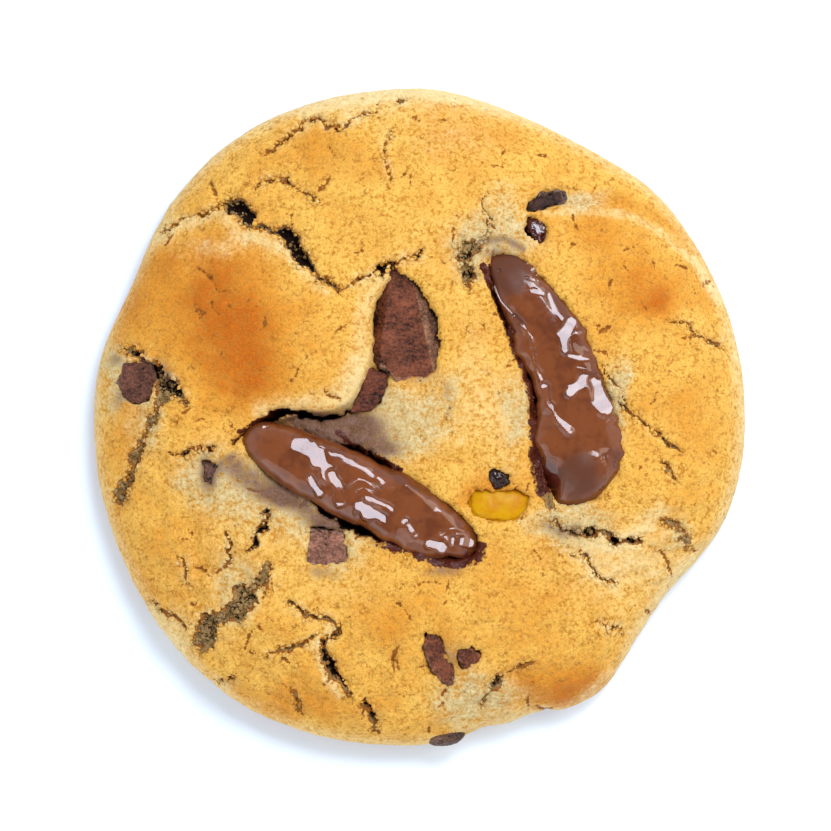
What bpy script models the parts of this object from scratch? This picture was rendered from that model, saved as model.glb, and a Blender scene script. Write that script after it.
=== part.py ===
"""A thick soft-baked cookie with broken milk chocolate, about 98 by 99 by 19 mm.

The dough is one closed body: a low dome with an uneven rim, soft lobes, two shoulders,
open splits, and a pocket for each piece that shows. Every piece of chocolate, and the piece
of caramel, is a body of its own in its pocket, with a thin gap all round.
+Z is up and +Y is the far side as the cookie is seen from above. The origin is under the
middle of the cookie's box, on the surface that it rests on.
Sizes are in millimetres here and become metres where a mesh is made.
"""
from dataclasses import dataclass

import bmesh
import bpy
import numpy as np
from mathutils import Vector

MM = 0.001

# Driving sizes of the dough
RADIUS = 48.9
CROWN_HEIGHT = 17.4
WIDEST_HEIGHT = 3.4
CROWN_POWER = 3.3
WALL_POWER = 2.1
BASE_SHARE = 0.95
GRID_CELLS = 52
CROWN_SAMPLES = 400
UNDER_SAMPLES = 60

# The gap between a piece and the dough, and how far a cutter stands out of the dough
GAP = 0.34
CUTTER_LIFT = 9.0

# Fineness of the sticks and of the rounded pieces
STICK_SECTIONS = 15
STICK_SIDES = 14
PEBBLE_RINGS = 6
PEBBLE_SIDES = 12
POLAR_CAP = 72.0

# Unevenness of the baked surface: size of the lumps, their height, and the random seed
LATTICE_CELLS = 64
COARSE_LUMPS = (9.0, 0.50, 11)
FINE_LUMPS = (3.6, 0.30, 12)

# Share of the radius over which the relief fades out at the rim
RELIEF_FADE = 0.12

# Limits in metres below which points are merged and hair-thin faces are dropped, and the
# angle in degrees up to which an edge is shaded smooth
MERGE_LIMIT = 1e-6
HAIR_LIMIT = 2e-5
SMOOTH_ANGLE = 40.0


@dataclass(frozen=True)
class RimSwell:
    """A place where the rim stands out, or in where the offset is negative."""
    bearing: float
    spread: float
    offset: float


RIM_SWELLS = (
    RimSwell(45, 9, 0.5),
    RimSwell(62, 18, -1.4),
    RimSwell(88, 8, 0.5),
    RimSwell(112, 18, 1.1),
    RimSwell(128, 12, 0.6),
    RimSwell(156, 10, -1.4),
    RimSwell(236, 26, 1.7),
    RimSwell(276, 4, 0.7),
    RimSwell(281, 7, -1.6),
    RimSwell(291, 4, -1.2),
    RimSwell(303, 6, 0.7),
    RimSwell(323, 14, -3.4),
)


@dataclass(frozen=True)
class Lobe:
    """A soft swelling of the top: its middle, its reach along X and Y, and its rise."""
    middle: tuple[float, float]
    reach: tuple[float, float]
    rise: float


LOBES = (
    Lobe((-22, 14.5), (15, 11), 1.9),
    Lobe((34, 17), (11, 13), 1.1),
    Lobe((3, 38), (17, 8), 1.2),
    Lobe((8, -4), (9, 9), 1.3),
    Lobe((-34, -22), (10, 9), 0.9),
    Lobe((-20, -34), (11, 7), 0.9),
    Lobe((-3, -31), (8, 8), 0.7),
    Lobe((22, -33), (13, 10), 1.0),
    Lobe((38, -5), (8, 10), 0.7),
    Lobe((-34, -4), (7, 6), 0.6),
)


@dataclass(frozen=True)
class Shoulder:
    """A rounded step in the top, which drops on the right-hand side of its course."""
    course: tuple[tuple[float, float], ...]
    drop: float
    edge: float
    reach: float


# Where a shoulder's drop starts, as a share, and how far its upper side sags with it
SHOULDER_START = 0.35
SHOULDER_SAG = 0.25

SHOULDERS = {
    "left_lobe": Shoulder(((-26, -1), (-18, 0.5), (-11, 2), (-7.5, 9), (-7.2, 16), (-4, 22)), 2.6, 1.6, 8.0),
    "right_lobe": Shoulder(((46, 16.5), (40, 25.5), (33, 30), (25, 31.5), (17, 31)), 1.5, 1.4, 5.5),
}


@dataclass(frozen=True)
class Split:
    """An open crack: its course over the top, its width there, and its depth."""
    course: tuple[tuple[float, float], ...]
    width: float
    depth: float


SPLITS = {
    "upper_left": Split(((-38, 28), (-29, 32), (-25, 28.5), (-20, 27.5), (-16, 22.5), (-10.5, 19.5)),
                        2.2, 3.6),
    "over_slab": Split(((-9, 21), (-4.5, 23.8), (0, 25)), 1.1, 2.4),
    "crown": Split(((-25, 34), (-22, 36), (-14, 31.5)), 1.0, 1.6),
    "top_rim": Split(((-23, 39.5), (-16.5, 44.3), (-11, 43.3), (-7.5, 45)), 1.3, 1.9),
    "north": Split(((9.8, 33.5), (10.2, 29), (7.2, 25), (6.8, 19.5)), 1.5, 2.2),
    "west": Split(((-37.6, -1), (-41.2, -4), (-43, -9), (-44.3, -13)), 1.4, 2.0),
    "west_slit": Split(((-22.5, -13.6), (-25.4, -19.9)), 0.9, 1.8),
    "south_west": Split(((-22.4, -22), (-26, -27.5), (-31.4, -30.8), (-33, -35.5)), 2.6, 2.8),
    "south_feeder": Split(((-20.5, -27.5), (-16.5, -30.2), (-12, -31.2)), 0.9, 1.6),
    "south": Split(((-11.5, -32.4), (-14.3, -34.5), (-13.4, -38), (-10.7, -42)), 2.4, 3.0),
    "south_pit": Split(((-8.5, -43), (-6.7, -46)), 1.6, 2.0),
    "east": Split(((37, 14.4), (41.5, 12.6), (46, 10.2)), 1.1, 1.9),
    "east_ragged": Split(((30, 2.2), (33.7, -1), (39.6, -5)), 1.2, 2.0),
    "south_east": Split(((20.5, -16.6), (25.6, -17.6), (29.4, -18.8), (33.5, -18.4)), 1.8, 2.6),
    "south_east_small": Split(((22.3, -20.4), (26, -22.6), (30, -25)), 1.0, 1.8),
    "south_rim": Split(((9.5, -42.5), (12, -39), (17, -37)), 1.3, 1.6),
}
SPLIT_SAMPLE = 2.2
SPLIT_ABOVE = 3.0
SPLIT_END_SHARE = 0.25


@dataclass(frozen=True)
class Stick:
    """A stick of melted chocolate: its ends in plan, how far it bows to its right-hand side,
    its breadth at its start, where it is widest and at its end, its full height, and how far
    its middle lies under the dome."""
    start: tuple[float, float]
    end: tuple[float, float]
    bow: float
    breadths: tuple[float, float, float]
    height: float
    sink: float


# A stick's form: how blunt its ends are, where it has its full breadth, how square its section is
STICK_BLUNTNESS = 7
STICK_FULL_BREADTH = 0.65
STICK_SQUARENESS = 2.5


@dataclass(frozen=True)
class Pebble:
    """A rounded piece: its middle in plan, its full length, breadth and height, how far its
    length is turned from +X, how square its outline is, and how far it lies under the top."""
    middle: tuple[float, float]
    size: tuple[float, float, float]
    turn: float
    squareness: float
    sink: float


@dataclass(frozen=True)
class Plate:
    """A broken piece of a bar: its corners in plan, its thickness, the width of its bevel,
    and how far its upper face lies under the dome."""
    corners: tuple[tuple[float, float], ...]
    thickness: float
    bevel: float
    sink: float


STICKS = {
    "baton_left": Stick((-26.4, -2.4), (8.8, -20.0), -0.2, (8.0, 10.4, 7.6), 7.6, 2.6),
    "baton_right": Stick((11.4, 24.6), (24.4, -13.4), -3.6, (7.0, 11.6, 11.6), 7.8, 2.7),
}

PEBBLES = {
    "chip_left": Pebble((-42.0, 5.2), (9.0, 6.6, 4.6), 80, 2.6, 1.4),
    "chip_low": Pebble((-13.7, -19.6), (6.4, 5.6, 4.4), 100, 2.8, 0.9),
    "chip_bottom_a": Pebble((3.0, -36.4), (8.4, 3.6, 4.0), -66, 2.4, 1.0),
    "chip_bottom_b": Pebble((7.5, -35.8), (4.0, 3.0, 3.4), -8, 2.3, 1.0),
    "chip_top": Pebble((19.1, 33.0), (6.0, 2.6, 3.4), 8, 2.4, 1.3),
    "chip_top_glossy": Pebble((17.6, 28.2), (4.4, 3.6, 3.2), 60, 1.6, 1.0),
    "chip_hidden": Pebble((-31.4, -8.8), (6.4, 3.6, 3.2), 75, 2.2, 1.6),
    "droplet": Pebble((11.7, -8.9), (3.2, 2.4, 2.2), -10, 2.0, 0.5),
    "caramel": Pebble((11.8, -13.0), (9.8, 5.0, 4.2), -8, 2.1, 0.9),
}

PLATES = {
    "slab": Plate(((-3.8, 22.3), (-6.9, 17.0), (-7.6, 11.0), (-6.7, 8.2), (-4.2, 6.6), (2.2, 5.2),
                   (3.6, 10.0), (2.7, 15.2), (-0.6, 20.4)), 3.4, 0.7, 1.7),
    "slab_corner": Plate(((-7.5, 7.2), (-9.0, 4.0), (-10.2, 1.6), (-7.6, 0.9), (-5.8, 2.6), (-4.7, 5.8)),
                         3.2, 0.6, 2.1),
}

# Where a plate's outline has its points along each side, which blunts its corners
CORNER_SHARES = (0.12, 0.88)


@dataclass(frozen=True)
class WallPebble:
    """A rounded piece in the side wall: its bearing, how far out its middle lies, the height
    of its middle, its full size across, outwards and upwards, and how square it is."""
    bearing: float
    distance: float
    height: float
    size: tuple[float, float, float]
    squareness: float


WALL_PEBBLES = {
    "chip_edge": WallPebble(-85.4, 47.0, 6.4, (6.2, 4.4, 5.2), 2.2),
}

# Colour, roughness and metallic value of each finish
BAKED_DOUGH = ("baked_dough", (0.78, 0.52, 0.22), 0.75, 0.0)
MELTED_CHOCOLATE = ("melted_chocolate", (0.24, 0.09, 0.05), 0.18, 0.0)
DULL_CHOCOLATE = ("dull_chocolate", (0.20, 0.09, 0.055), 0.55, 0.0)
BAKED_CARAMEL = ("baked_caramel", (0.80, 0.40, 0.08), 0.40, 0.0)
GLOSSY_NODES = ("baton_left", "baton_right", "chip_top_glossy", "droplet")


def rim_radius(bearing):
    """Distance of the rim from the middle at a bearing in degrees, before it is centred."""
    radius = np.full_like(np.asarray(bearing, float), RADIUS)
    for swell in RIM_SWELLS:
        away = (bearing - swell.bearing + 180.0) % 360.0 - 180.0
        radius += swell.offset * np.exp(-(away / swell.spread) ** 2)
    return radius


def rim_middle():
    """Middle of the box round the rim, which becomes the origin."""
    bearing = np.linspace(0.0, 360.0, 1440, endpoint=False)
    radius = rim_radius(bearing)
    x = radius * np.cos(np.radians(bearing))
    y = radius * np.sin(np.radians(bearing))
    return 0.5 * (x.min() + x.max()), 0.5 * (y.min() + y.max())


RIM_X, RIM_Y = rim_middle()


def share_of_rim(x, y):
    """How far out a point lies, from 0 in the middle to 1 on the rim."""
    bearing = np.degrees(np.arctan2(y + RIM_Y, x + RIM_X))
    return np.hypot(x + RIM_X, y + RIM_Y) / rim_radius(bearing)


def dome_height(x, y):
    """Height of the plain dome: a superellipse from the crown down to the widest line."""
    share = np.clip(share_of_rim(x, y), 0.0, 1.0)
    rise = (1.0 - share ** CROWN_POWER) ** (1.0 / WALL_POWER)
    return WIDEST_HEIGHT + (CROWN_HEIGHT - WIDEST_HEIGHT) * rise


def smooth_step(value):
    """Eases from 0 to 1 as the value goes from 0 to 1."""
    value = np.clip(value, 0.0, 1.0)
    return value * value * (3.0 - 2.0 * value)


def lumps(x, y, size, seed):
    """Uneven heights from -1 to 1: a random lattice of the given cell size, eased between."""
    lattice = np.random.default_rng(seed).uniform(-1.0, 1.0, (LATTICE_CELLS, LATTICE_CELLS))
    column = x / size + LATTICE_CELLS / 2
    row = y / size + LATTICE_CELLS / 2
    left = np.floor(column).astype(int)
    low = np.floor(row).astype(int)
    across = smooth_step(column - left)
    up = smooth_step(row - low)
    lower = lattice[low, left] * (1 - across) + lattice[low, left + 1] * across
    upper = lattice[low + 1, left] * (1 - across) + lattice[low + 1, left + 1] * across
    return lower * (1 - up) + upper * up


def smooth_course(points, step):
    """Points at about the given step on a Catmull-Rom curve through a course's own points."""
    points = [np.array(point, float) for point in points]
    points = [2 * points[0] - points[1]] + points + [2 * points[-1] - points[-2]]
    curve = []
    for before, start, end, after in zip(points, points[1:], points[2:], points[3:]):
        count = max(2, round(float(np.linalg.norm(end - start)) / step))
        for share in np.arange(count) / count:
            curve.append(0.5 * (2 * start + (end - before) * share
                                + (2 * before - 5 * start + 4 * end - after) * share ** 2
                                + (3 * start - before - 3 * end + after) * share ** 3))
    curve.append(points[-2])
    return np.array(curve)


def distance_to_course(x, y, curve):
    """Distance to a course, and the side: positive on the right-hand side of its direction."""
    nearest = np.full(np.shape(x), np.inf)
    side = np.zeros(np.shape(x))
    for start, end in zip(curve[:-1], curve[1:]):
        run = end - start
        share = ((x - start[0]) * run[0] + (y - start[1]) * run[1]) / (run @ run)
        share = np.clip(share, 0.0, 1.0)
        away_x = x - start[0] - share * run[0]
        away_y = y - start[1] - share * run[1]
        distance = np.hypot(away_x, away_y)
        closer = distance < nearest
        nearest = np.where(closer, distance, nearest)
        side = np.where(closer, np.sign(run[1] * away_x - run[0] * away_y), side)
    return nearest, side


def shoulder_height(x, y, shoulder):
    """A rounded step: full drop just past the course, which fades out over its reach."""
    distance, side = distance_to_course(x, y, smooth_course(shoulder.course, 2.0))
    low_side = smooth_step(SHOULDER_START + distance / shoulder.edge)
    low_side = low_side * np.exp(-(distance / shoulder.reach) ** 2)
    high_side = SHOULDER_SAG * np.exp(-(distance / shoulder.edge) ** 2)
    return -shoulder.drop * np.where(side > 0, low_side, high_side)


def top_relief(x, y):
    """Height of the lobes, shoulders and lumps over the plain dome, fading out at the rim."""
    relief = np.zeros(np.shape(x))
    for lobe in LOBES:
        across = (x - lobe.middle[0]) / lobe.reach[0]
        along = (y - lobe.middle[1]) / lobe.reach[1]
        relief += lobe.rise * np.exp(-across ** 2 - along ** 2)
    for shoulder in SHOULDERS.values():
        relief += shoulder_height(x, y, shoulder)
    for size, height, seed in (COARSE_LUMPS, FINE_LUMPS):
        relief += height * lumps(x, y, size, seed)
    return relief * smooth_step((1.0 - share_of_rim(x, y)) / RELIEF_FADE)


def top_height(x, y):
    """Height of the dough's top at a place in plan, before it is cut."""
    return dome_height(x, y) + top_relief(x, y)


def dough_profile():
    """Share of the rim and height along the dough's section, from the crown to the base."""
    angle = np.linspace(0.0, np.pi / 2, CROWN_SAMPLES)
    crown_share = np.sin(angle) ** (2.0 / CROWN_POWER)
    crown_share[-1] = 1.0
    crown_height = (1.0 - crown_share ** CROWN_POWER) ** (1.0 / WALL_POWER)
    crown_height = WIDEST_HEIGHT + (CROWN_HEIGHT - WIDEST_HEIGHT) * crown_height
    under = np.linspace(0.0, np.pi / 2, UNDER_SAMPLES)[1:]
    under_share = BASE_SHARE + (1.0 - BASE_SHARE) * np.cos(under)
    under_height = WIDEST_HEIGHT * (1.0 - np.sin(under))
    return np.concatenate((crown_share, under_share)), np.concatenate((crown_height, under_height))


def new_mesh_object(name, points, faces, finish=None):
    """Object from points in millimetres and faces, closed, with its faces turned outwards."""
    mesh = bpy.data.meshes.new(name)
    mesh.from_pydata([tuple(float(value) * MM for value in point) for point in points], [], faces)
    shape = bmesh.new()
    shape.from_mesh(mesh)
    bmesh.ops.remove_doubles(shape, verts=shape.verts, dist=MERGE_LIMIT)
    bmesh.ops.dissolve_degenerate(shape, edges=shape.edges, dist=MERGE_LIMIT)
    bmesh.ops.recalc_face_normals(shape, faces=shape.faces)
    if shape.calc_volume(signed=True) < 0:
        bmesh.ops.reverse_faces(shape, faces=shape.faces)
    shape.to_mesh(mesh)
    shape.free()
    item = bpy.data.objects.new(name, mesh)
    bpy.context.scene.collection.objects.link(item)
    if finish:
        dress(item, finish)
    return item


def dress(item, finish):
    """Gives an object its own material of a finish, and smooth shading."""
    name, colour, roughness, metallic = finish
    material = bpy.data.materials.new(f"{name}_{item.name}")
    material.use_nodes = True
    shader = material.node_tree.nodes["Principled BSDF"]
    shader.inputs["Base Color"].default_value = (*colour, 1.0)
    shader.inputs["Roughness"].default_value = roughness
    shader.inputs["Metallic"].default_value = metallic
    item.data.materials.clear()
    item.data.materials.append(material)
    item.data.shade_smooth()
    item.data.set_sharp_from_angle(angle=np.radians(SMOOTH_ANGLE))


def ring_solid(rings):
    """Points and faces of a closed solid from rings of points, with a flat cap at each end."""
    count = len(rings[0])
    points = [point for ring in rings for point in ring]
    faces = []
    for row in range(len(rings) - 1):
        for place in range(count):
            here = row * count + place
            beside = row * count + (place + 1) % count
            faces.append((here, beside, beside + count, here + count))
    faces.append(tuple(reversed(range(count))))
    faces.append(tuple(range((len(rings) - 1) * count, len(rings) * count)))
    return points, faces


def signed_power(value, power):
    """Power of a size with its sign kept, which turns an ellipse into a superellipse."""
    return np.sign(value) * np.abs(value) ** power


def build_dough():
    """The dough before it is cut: a square grid laid over the disc and bent to the profile."""
    share, height = dough_profile()
    run = np.concatenate(([0.0], np.cumsum(np.hypot(np.diff(share) * RADIUS, np.diff(height)))))
    steps = np.linspace(-1.0, 1.0, GRID_CELLS + 1)
    u, v = np.meshgrid(steps, steps)
    disc_x = u * np.sqrt(1.0 - v ** 2 / 2.0)
    disc_y = v * np.sqrt(1.0 - u ** 2 / 2.0)
    reach = np.clip(np.hypot(disc_x, disc_y), 0.0, 1.0)
    bearing = np.arctan2(disc_y, disc_x)
    grid_share = np.interp(reach * run[-1], run, share)
    radius = grid_share * rim_radius(np.degrees(bearing))
    x = radius * np.cos(bearing) - RIM_X
    y = radius * np.sin(bearing) - RIM_Y
    z = np.interp(reach * run[-1], run, height)
    on_top = reach * run[-1] < run[CROWN_SAMPLES - 1]
    z = np.where(on_top, z + top_relief(x, y), z)
    points = np.column_stack((x.ravel(), y.ravel(), z.ravel()))
    side = GRID_CELLS + 1
    faces = []
    for row in range(GRID_CELLS):
        for column in range(GRID_CELLS):
            corner = row * side + column
            faces.append((corner, corner + 1, corner + side + 1, corner + side))
    rim = [column for column in range(GRID_CELLS)]
    rim += [row * side + GRID_CELLS for row in range(GRID_CELLS)]
    rim += [GRID_CELLS * side + column for column in range(GRID_CELLS, 0, -1)]
    rim += [row * side for row in range(GRID_CELLS, 0, -1)]
    faces.append(tuple(reversed(rim)))
    return new_mesh_object("dough", points, faces)


def stick_rings(stick, grow, cutter):
    """Sections of a stick from end to end. A cutter is wider by the gap and open upwards."""
    start = np.array(stick.start)
    end = np.array(stick.end)
    run = (end - start) / np.linalg.norm(end - start)
    left_hand = np.array((-run[1], run[0]))
    rings = []
    angles = np.linspace(0.0, 2 * np.pi, STICK_SIDES, endpoint=False)
    if cutter:
        angles = np.linspace(np.pi, 2 * np.pi, STICK_SIDES // 2 + 1)
    for turn in np.linspace(0.0, np.pi, STICK_SECTIONS + 2)[1:-1]:
        share = (1.0 - np.cos(turn)) / 2.0
        middle = start + (end - start) * share - left_hand * stick.bow * 4.0 * share * (1.0 - share)
        blunt = (1.0 - abs(2.0 * share - 1.0) ** STICK_BLUNTNESS) ** 0.5
        breadth = np.interp(share, (0.0, STICK_FULL_BREADTH, 1.0), stick.breadths)
        half = 0.5 * breadth * blunt + grow
        tall = 0.5 * stick.height * blunt + grow
        level = dome_height(middle[0], middle[1]) - stick.sink
        across = half * signed_power(np.cos(angles), 2 / STICK_SQUARENESS)
        up = tall * signed_power(np.sin(angles), 2 / STICK_SQUARENESS)
        if cutter:
            across = np.append(across, (half, -half))
            up = np.append(up, (CUTTER_LIFT, CUTTER_LIFT))
        place = middle + across[:, None] * left_hand
        rings.append(np.column_stack((place, level + up)))
    if cutter:
        run_3d = np.append(run, 0.0) * grow
        rings = [rings[0] - run_3d] + rings + [rings[-1] + run_3d]
    return rings


def top_seat(middle, sink, turn):
    """Origin and three axes of a piece that lies in the top, square to the dome there."""
    x, y = middle
    reach = 0.5
    slope_x = float(dome_height(x + reach, y) - dome_height(x - reach, y)) / (2 * reach)
    slope_y = float(dome_height(x, y + reach) - dome_height(x, y - reach)) / (2 * reach)
    up = Vector((-slope_x, -slope_y, 1.0)).normalized()
    along = Vector((np.cos(np.radians(turn)), np.sin(np.radians(turn)), 0.0))
    along = (along - up * along.dot(up)).normalized()
    across = up.cross(along)
    origin = Vector((x, y, float(top_height(x, y)))) - up * sink
    return origin, along, across, up


def wall_seat(pebble):
    """Origin and three axes of a piece in the side wall: across, upwards, and outwards."""
    angle = np.radians(pebble.bearing)
    outwards = Vector((np.cos(angle), np.sin(angle), 0.0))
    origin = outwards * pebble.distance + Vector((-RIM_X, -RIM_Y, pebble.height))
    up = Vector((0.0, 0.0, 1.0))
    return origin, outwards.cross(up) * -1.0, up, outwards


def pebble_rings(size, squareness, seat, grow, cutter):
    """Level rings of a rounded piece, from its lowest to its highest in its own axes."""
    origin, along, across, up = seat
    half = [0.5 * value + grow for value in size]
    highest = 0.0 if cutter else POLAR_CAP
    latitudes = np.radians(np.linspace(-POLAR_CAP, highest, PEBBLE_RINGS // 2 if cutter else PEBBLE_RINGS))
    bearings = np.linspace(0.0, 2 * np.pi, PEBBLE_SIDES, endpoint=False)
    flat = [(np.cos(latitude), half[2] * np.sin(latitude)) for latitude in latitudes]
    if cutter:
        flat.append((1.0, CUTTER_LIFT))
    rings = []
    for share, rise in flat:
        ring = []
        for bearing in bearings:
            far = half[0] * share * signed_power(np.cos(bearing), 2 / squareness)
            aside = half[1] * share * signed_power(np.sin(bearing), 2 / squareness)
            ring.append(origin + along * float(far) + across * float(aside) + up * float(rise))
        rings.append(ring)
    return rings


def plate_rings(plate, grow, cutter):
    """Level rings of a broken plate, bevelled above and below, tilted with the dome."""
    corners = np.array(plate.corners)
    middle = corners.mean(axis=0)
    origin, _, _, up = top_seat(middle, 0.0, 0.0)
    level = float(dome_height(*middle)) - plate.sink
    outline = np.vstack([corners, corners[:1]])
    outline = np.array([outline[place] * (1 - share) + outline[place + 1] * share
                        for place in range(len(corners)) for share in CORNER_SHARES])
    out = outline - middle
    far = np.linalg.norm(out, axis=1, keepdims=True)
    steps = [(-plate.bevel, -plate.thickness), (0.0, -plate.thickness + plate.bevel),
             (0.0, -plate.bevel), (-plate.bevel, 0.0)]
    if cutter:
        steps = [(-plate.bevel, -plate.thickness - grow), (0.0, -plate.thickness + plate.bevel - grow),
                 (0.0, CUTTER_LIFT)]
    rings = []
    for inset, rise in steps:
        place = middle + out * (far + inset + grow) / far
        tilt = -(up.x * (place[:, 0] - middle[0]) + up.y * (place[:, 1] - middle[1])) / up.z
        rings.append(np.column_stack((place, level + rise + tilt)))
    return rings


def split_rings(split):
    """Three-sided sections of a split's cutter: a narrow V that grows shallow at both ends."""
    curve = smooth_course(split.course, SPLIT_SAMPLE)
    run = np.gradient(curve, axis=0)
    run /= np.linalg.norm(run, axis=1, keepdims=True)
    left_hand = np.column_stack((-run[:, 1], run[:, 0]))
    share = np.linspace(0.0, 1.0, len(curve))
    taper = np.sqrt(np.clip(4.0 * share * (1.0 - share), 0.0, 1.0))
    level = top_height(curve[:, 0], curve[:, 1])
    rings = []
    for place, aside, fade, top in zip(curve, left_hand, taper, level):
        depth = split.depth * fade
        wide = split.width * (SPLIT_END_SHARE + (1.0 - SPLIT_END_SHARE) * fade)
        half = 0.5 * wide * (1.0 + SPLIT_ABOVE / split.depth)
        rings.append([(*(place + aside * half), top + SPLIT_ABOVE), (*place, top - depth),
                      (*(place - aside * half), top + SPLIT_ABOVE)])
    return rings


def pieces_and_cutters():
    """Every piece of chocolate and caramel, and the cutter of each one's pocket."""
    shapes = {}
    for name, stick in STICKS.items():
        shapes[name] = (stick_rings(stick, 0.0, False), stick_rings(stick, GAP, True))
    for name, pebble in PEBBLES.items():
        seat = top_seat(pebble.middle, pebble.sink, pebble.turn)
        shapes[name] = tuple(pebble_rings(pebble.size, pebble.squareness, seat, grow, cutter)
                             for grow, cutter in ((0.0, False), (GAP, True)))
    for name, pebble in WALL_PEBBLES.items():
        size = (pebble.size[0], pebble.size[2], pebble.size[1])
        shapes[name] = tuple(pebble_rings(size, pebble.squareness, wall_seat(pebble), grow, cutter)
                             for grow, cutter in ((0.0, False), (GAP, True)))
    for name, plate in PLATES.items():
        shapes[name] = (plate_rings(plate, 0.0, False), plate_rings(plate, GAP, True))
    return shapes


def finish_of(name):
    """The finish of a piece, by its name."""
    if name == "caramel":
        return BAKED_CARAMEL
    return MELTED_CHOCOLATE if name in GLOSSY_NODES else DULL_CHOCOLATE


def cut(body, cutter):
    """Takes a cutter's shape out of a body, and removes the cutter."""
    cutter.hide_render = True
    cutter.display_type = "WIRE"
    modifier = body.modifiers.new(cutter.name, "BOOLEAN")
    modifier.operation = "DIFFERENCE"
    modifier.solver = "EXACT"
    modifier.object = cutter
    graph = bpy.context.evaluated_depsgraph_get()
    cut_mesh = bpy.data.meshes.new_from_object(body.evaluated_get(graph))
    body.modifiers.clear()
    body.data = cut_mesh
    bpy.data.objects.remove(cutter)


def keep_largest_body(item):
    """Drops loose scraps from a mesh, merges hair-thin faces, and makes it all triangles."""
    shape = bmesh.new()
    shape.from_mesh(item.data)
    bmesh.ops.triangulate(shape, faces=shape.faces)
    bmesh.ops.dissolve_degenerate(shape, edges=shape.edges, dist=HAIR_LIMIT)
    bmesh.ops.triangulate(shape, faces=shape.faces)
    left = set(shape.verts)
    bodies = []
    while left:
        waiting = [left.pop()]
        body = set(waiting)
        while waiting:
            for edge in waiting.pop().link_edges:
                for vertex in edge.verts:
                    if vertex not in body:
                        body.add(vertex)
                        waiting.append(vertex)
        left -= body
        bodies.append(body)
    largest = max(bodies, key=len)
    bmesh.ops.delete(shape, geom=[vertex for vertex in shape.verts if vertex not in largest], context="VERTS")
    shape.to_mesh(item.data)
    shape.free()


def build():
    """Builds the dough, its pockets and splits, and the pieces that lie in them."""
    for item in list(bpy.data.objects):
        bpy.data.objects.remove(item)
    dough = build_dough()
    for name, split in SPLITS.items():
        cut(dough, new_mesh_object(f"{name}_split", *ring_solid(split_rings(split))))
    for name, (solid, pocket) in pieces_and_cutters().items():
        cut(dough, new_mesh_object(f"{name}_pocket", *ring_solid(pocket)))
        new_mesh_object(name, *ring_solid(solid), finish_of(name))
    keep_largest_body(dough)
    dress(dough, BAKED_DOUGH)


build()
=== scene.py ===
"""The looks of a thick soft-baked cookie with melted milk chocolate, seen from above.

Sizes are in millimetres in the frame's own axes (+X right, +Y far side, +Z up) and become
metres where a mesh is made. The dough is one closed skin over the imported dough. Each stick,
slab, chip and drop stands in its own pocket.
"""
import logging
from collections.abc import Callable
from dataclasses import dataclass
from enum import Enum

import bpy
import numpy as np
from numpy.typing import NDArray
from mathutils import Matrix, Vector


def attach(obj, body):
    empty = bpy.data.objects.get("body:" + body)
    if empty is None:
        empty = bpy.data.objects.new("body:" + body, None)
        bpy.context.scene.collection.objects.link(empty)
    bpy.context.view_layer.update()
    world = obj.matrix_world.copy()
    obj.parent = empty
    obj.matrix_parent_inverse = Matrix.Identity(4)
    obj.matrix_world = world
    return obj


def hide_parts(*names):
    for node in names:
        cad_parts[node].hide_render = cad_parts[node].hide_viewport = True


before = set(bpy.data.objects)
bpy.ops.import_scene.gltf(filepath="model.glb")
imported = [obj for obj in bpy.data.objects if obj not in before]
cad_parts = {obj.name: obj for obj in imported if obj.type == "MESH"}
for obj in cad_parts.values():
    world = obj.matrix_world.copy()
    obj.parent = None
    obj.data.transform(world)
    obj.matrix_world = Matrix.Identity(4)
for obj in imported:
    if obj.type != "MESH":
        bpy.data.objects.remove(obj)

Array = NDArray[np.float64]
Point = tuple[float, float]
Colour = tuple[int, int, int]

LOG = logging.getLogger("cookie")
MM = 0.001


# Smooth unevenness and easing

def eased(value: Array) -> Array:
    """Eases from 0 to 1 as the value goes from 0 to 1."""
    value = np.clip(value, 0.0, 1.0)
    return value * value * (3.0 - 2.0 * value)


def signed_power(value: Array, power: float) -> Array:
    """Power of a size with its sign kept, which squares off a circle."""
    return np.sign(value) * np.abs(value) ** power


@dataclass(frozen=True)
class Lumps:
    """Smooth unevenness: random heights on a square lattice, eased between its points."""
    cell: float
    height: float
    seed: int
    lattice_cells: int = 64

    def at(self, x: Array, y: Array) -> Array:
        """Height of the lumps.

        Args:
            x: places along X.
            y: places along Y.

        Returns:
            Heights from minus to plus the lumps' own height.
        """
        count = self.lattice_cells
        lattice = np.random.default_rng(self.seed).uniform(-1.0, 1.0, (count, count))
        column = x / self.cell + count / 2
        row = y / self.cell + count / 2
        left = np.floor(column).astype(int)
        low = np.floor(row).astype(int)
        across = eased(column - left)
        up = eased(row - low)
        left, right = left % count, (left + 1) % count
        low, high = low % count, (low + 1) % count
        lower = lattice[low, left] * (1 - across) + lattice[low, right] * across
        upper = lattice[high, left] * (1 - across) + lattice[high, right] * across
        return self.height * (lower * (1 - up) + upper * up)


@dataclass(frozen=True)
class Crags:
    """Lumps over lumps: each layer is half the size of the one before, turned and lower."""
    cell: float
    height: float
    seed: int
    layers: int = 3
    fade: float = 0.55
    turn: float = 0.65

    def at(self, x: Array, y: Array) -> Array:
        """Height of all the layers together.

        Args:
            x: places along X.
            y: places along Y.

        Returns:
            Heights, mostly within the crags' own height.
        """
        total = np.zeros(np.broadcast(x, y).shape)
        for layer in range(self.layers):
            angle = self.turn * (layer + 1)
            turned_x = x * np.cos(angle) - y * np.sin(angle)
            turned_y = x * np.sin(angle) + y * np.cos(angle)
            lumps = Lumps(self.cell / 2 ** layer, self.height * self.fade ** layer, self.seed + layer)
            total += lumps.at(turned_x, turned_y)
        return total


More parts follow.
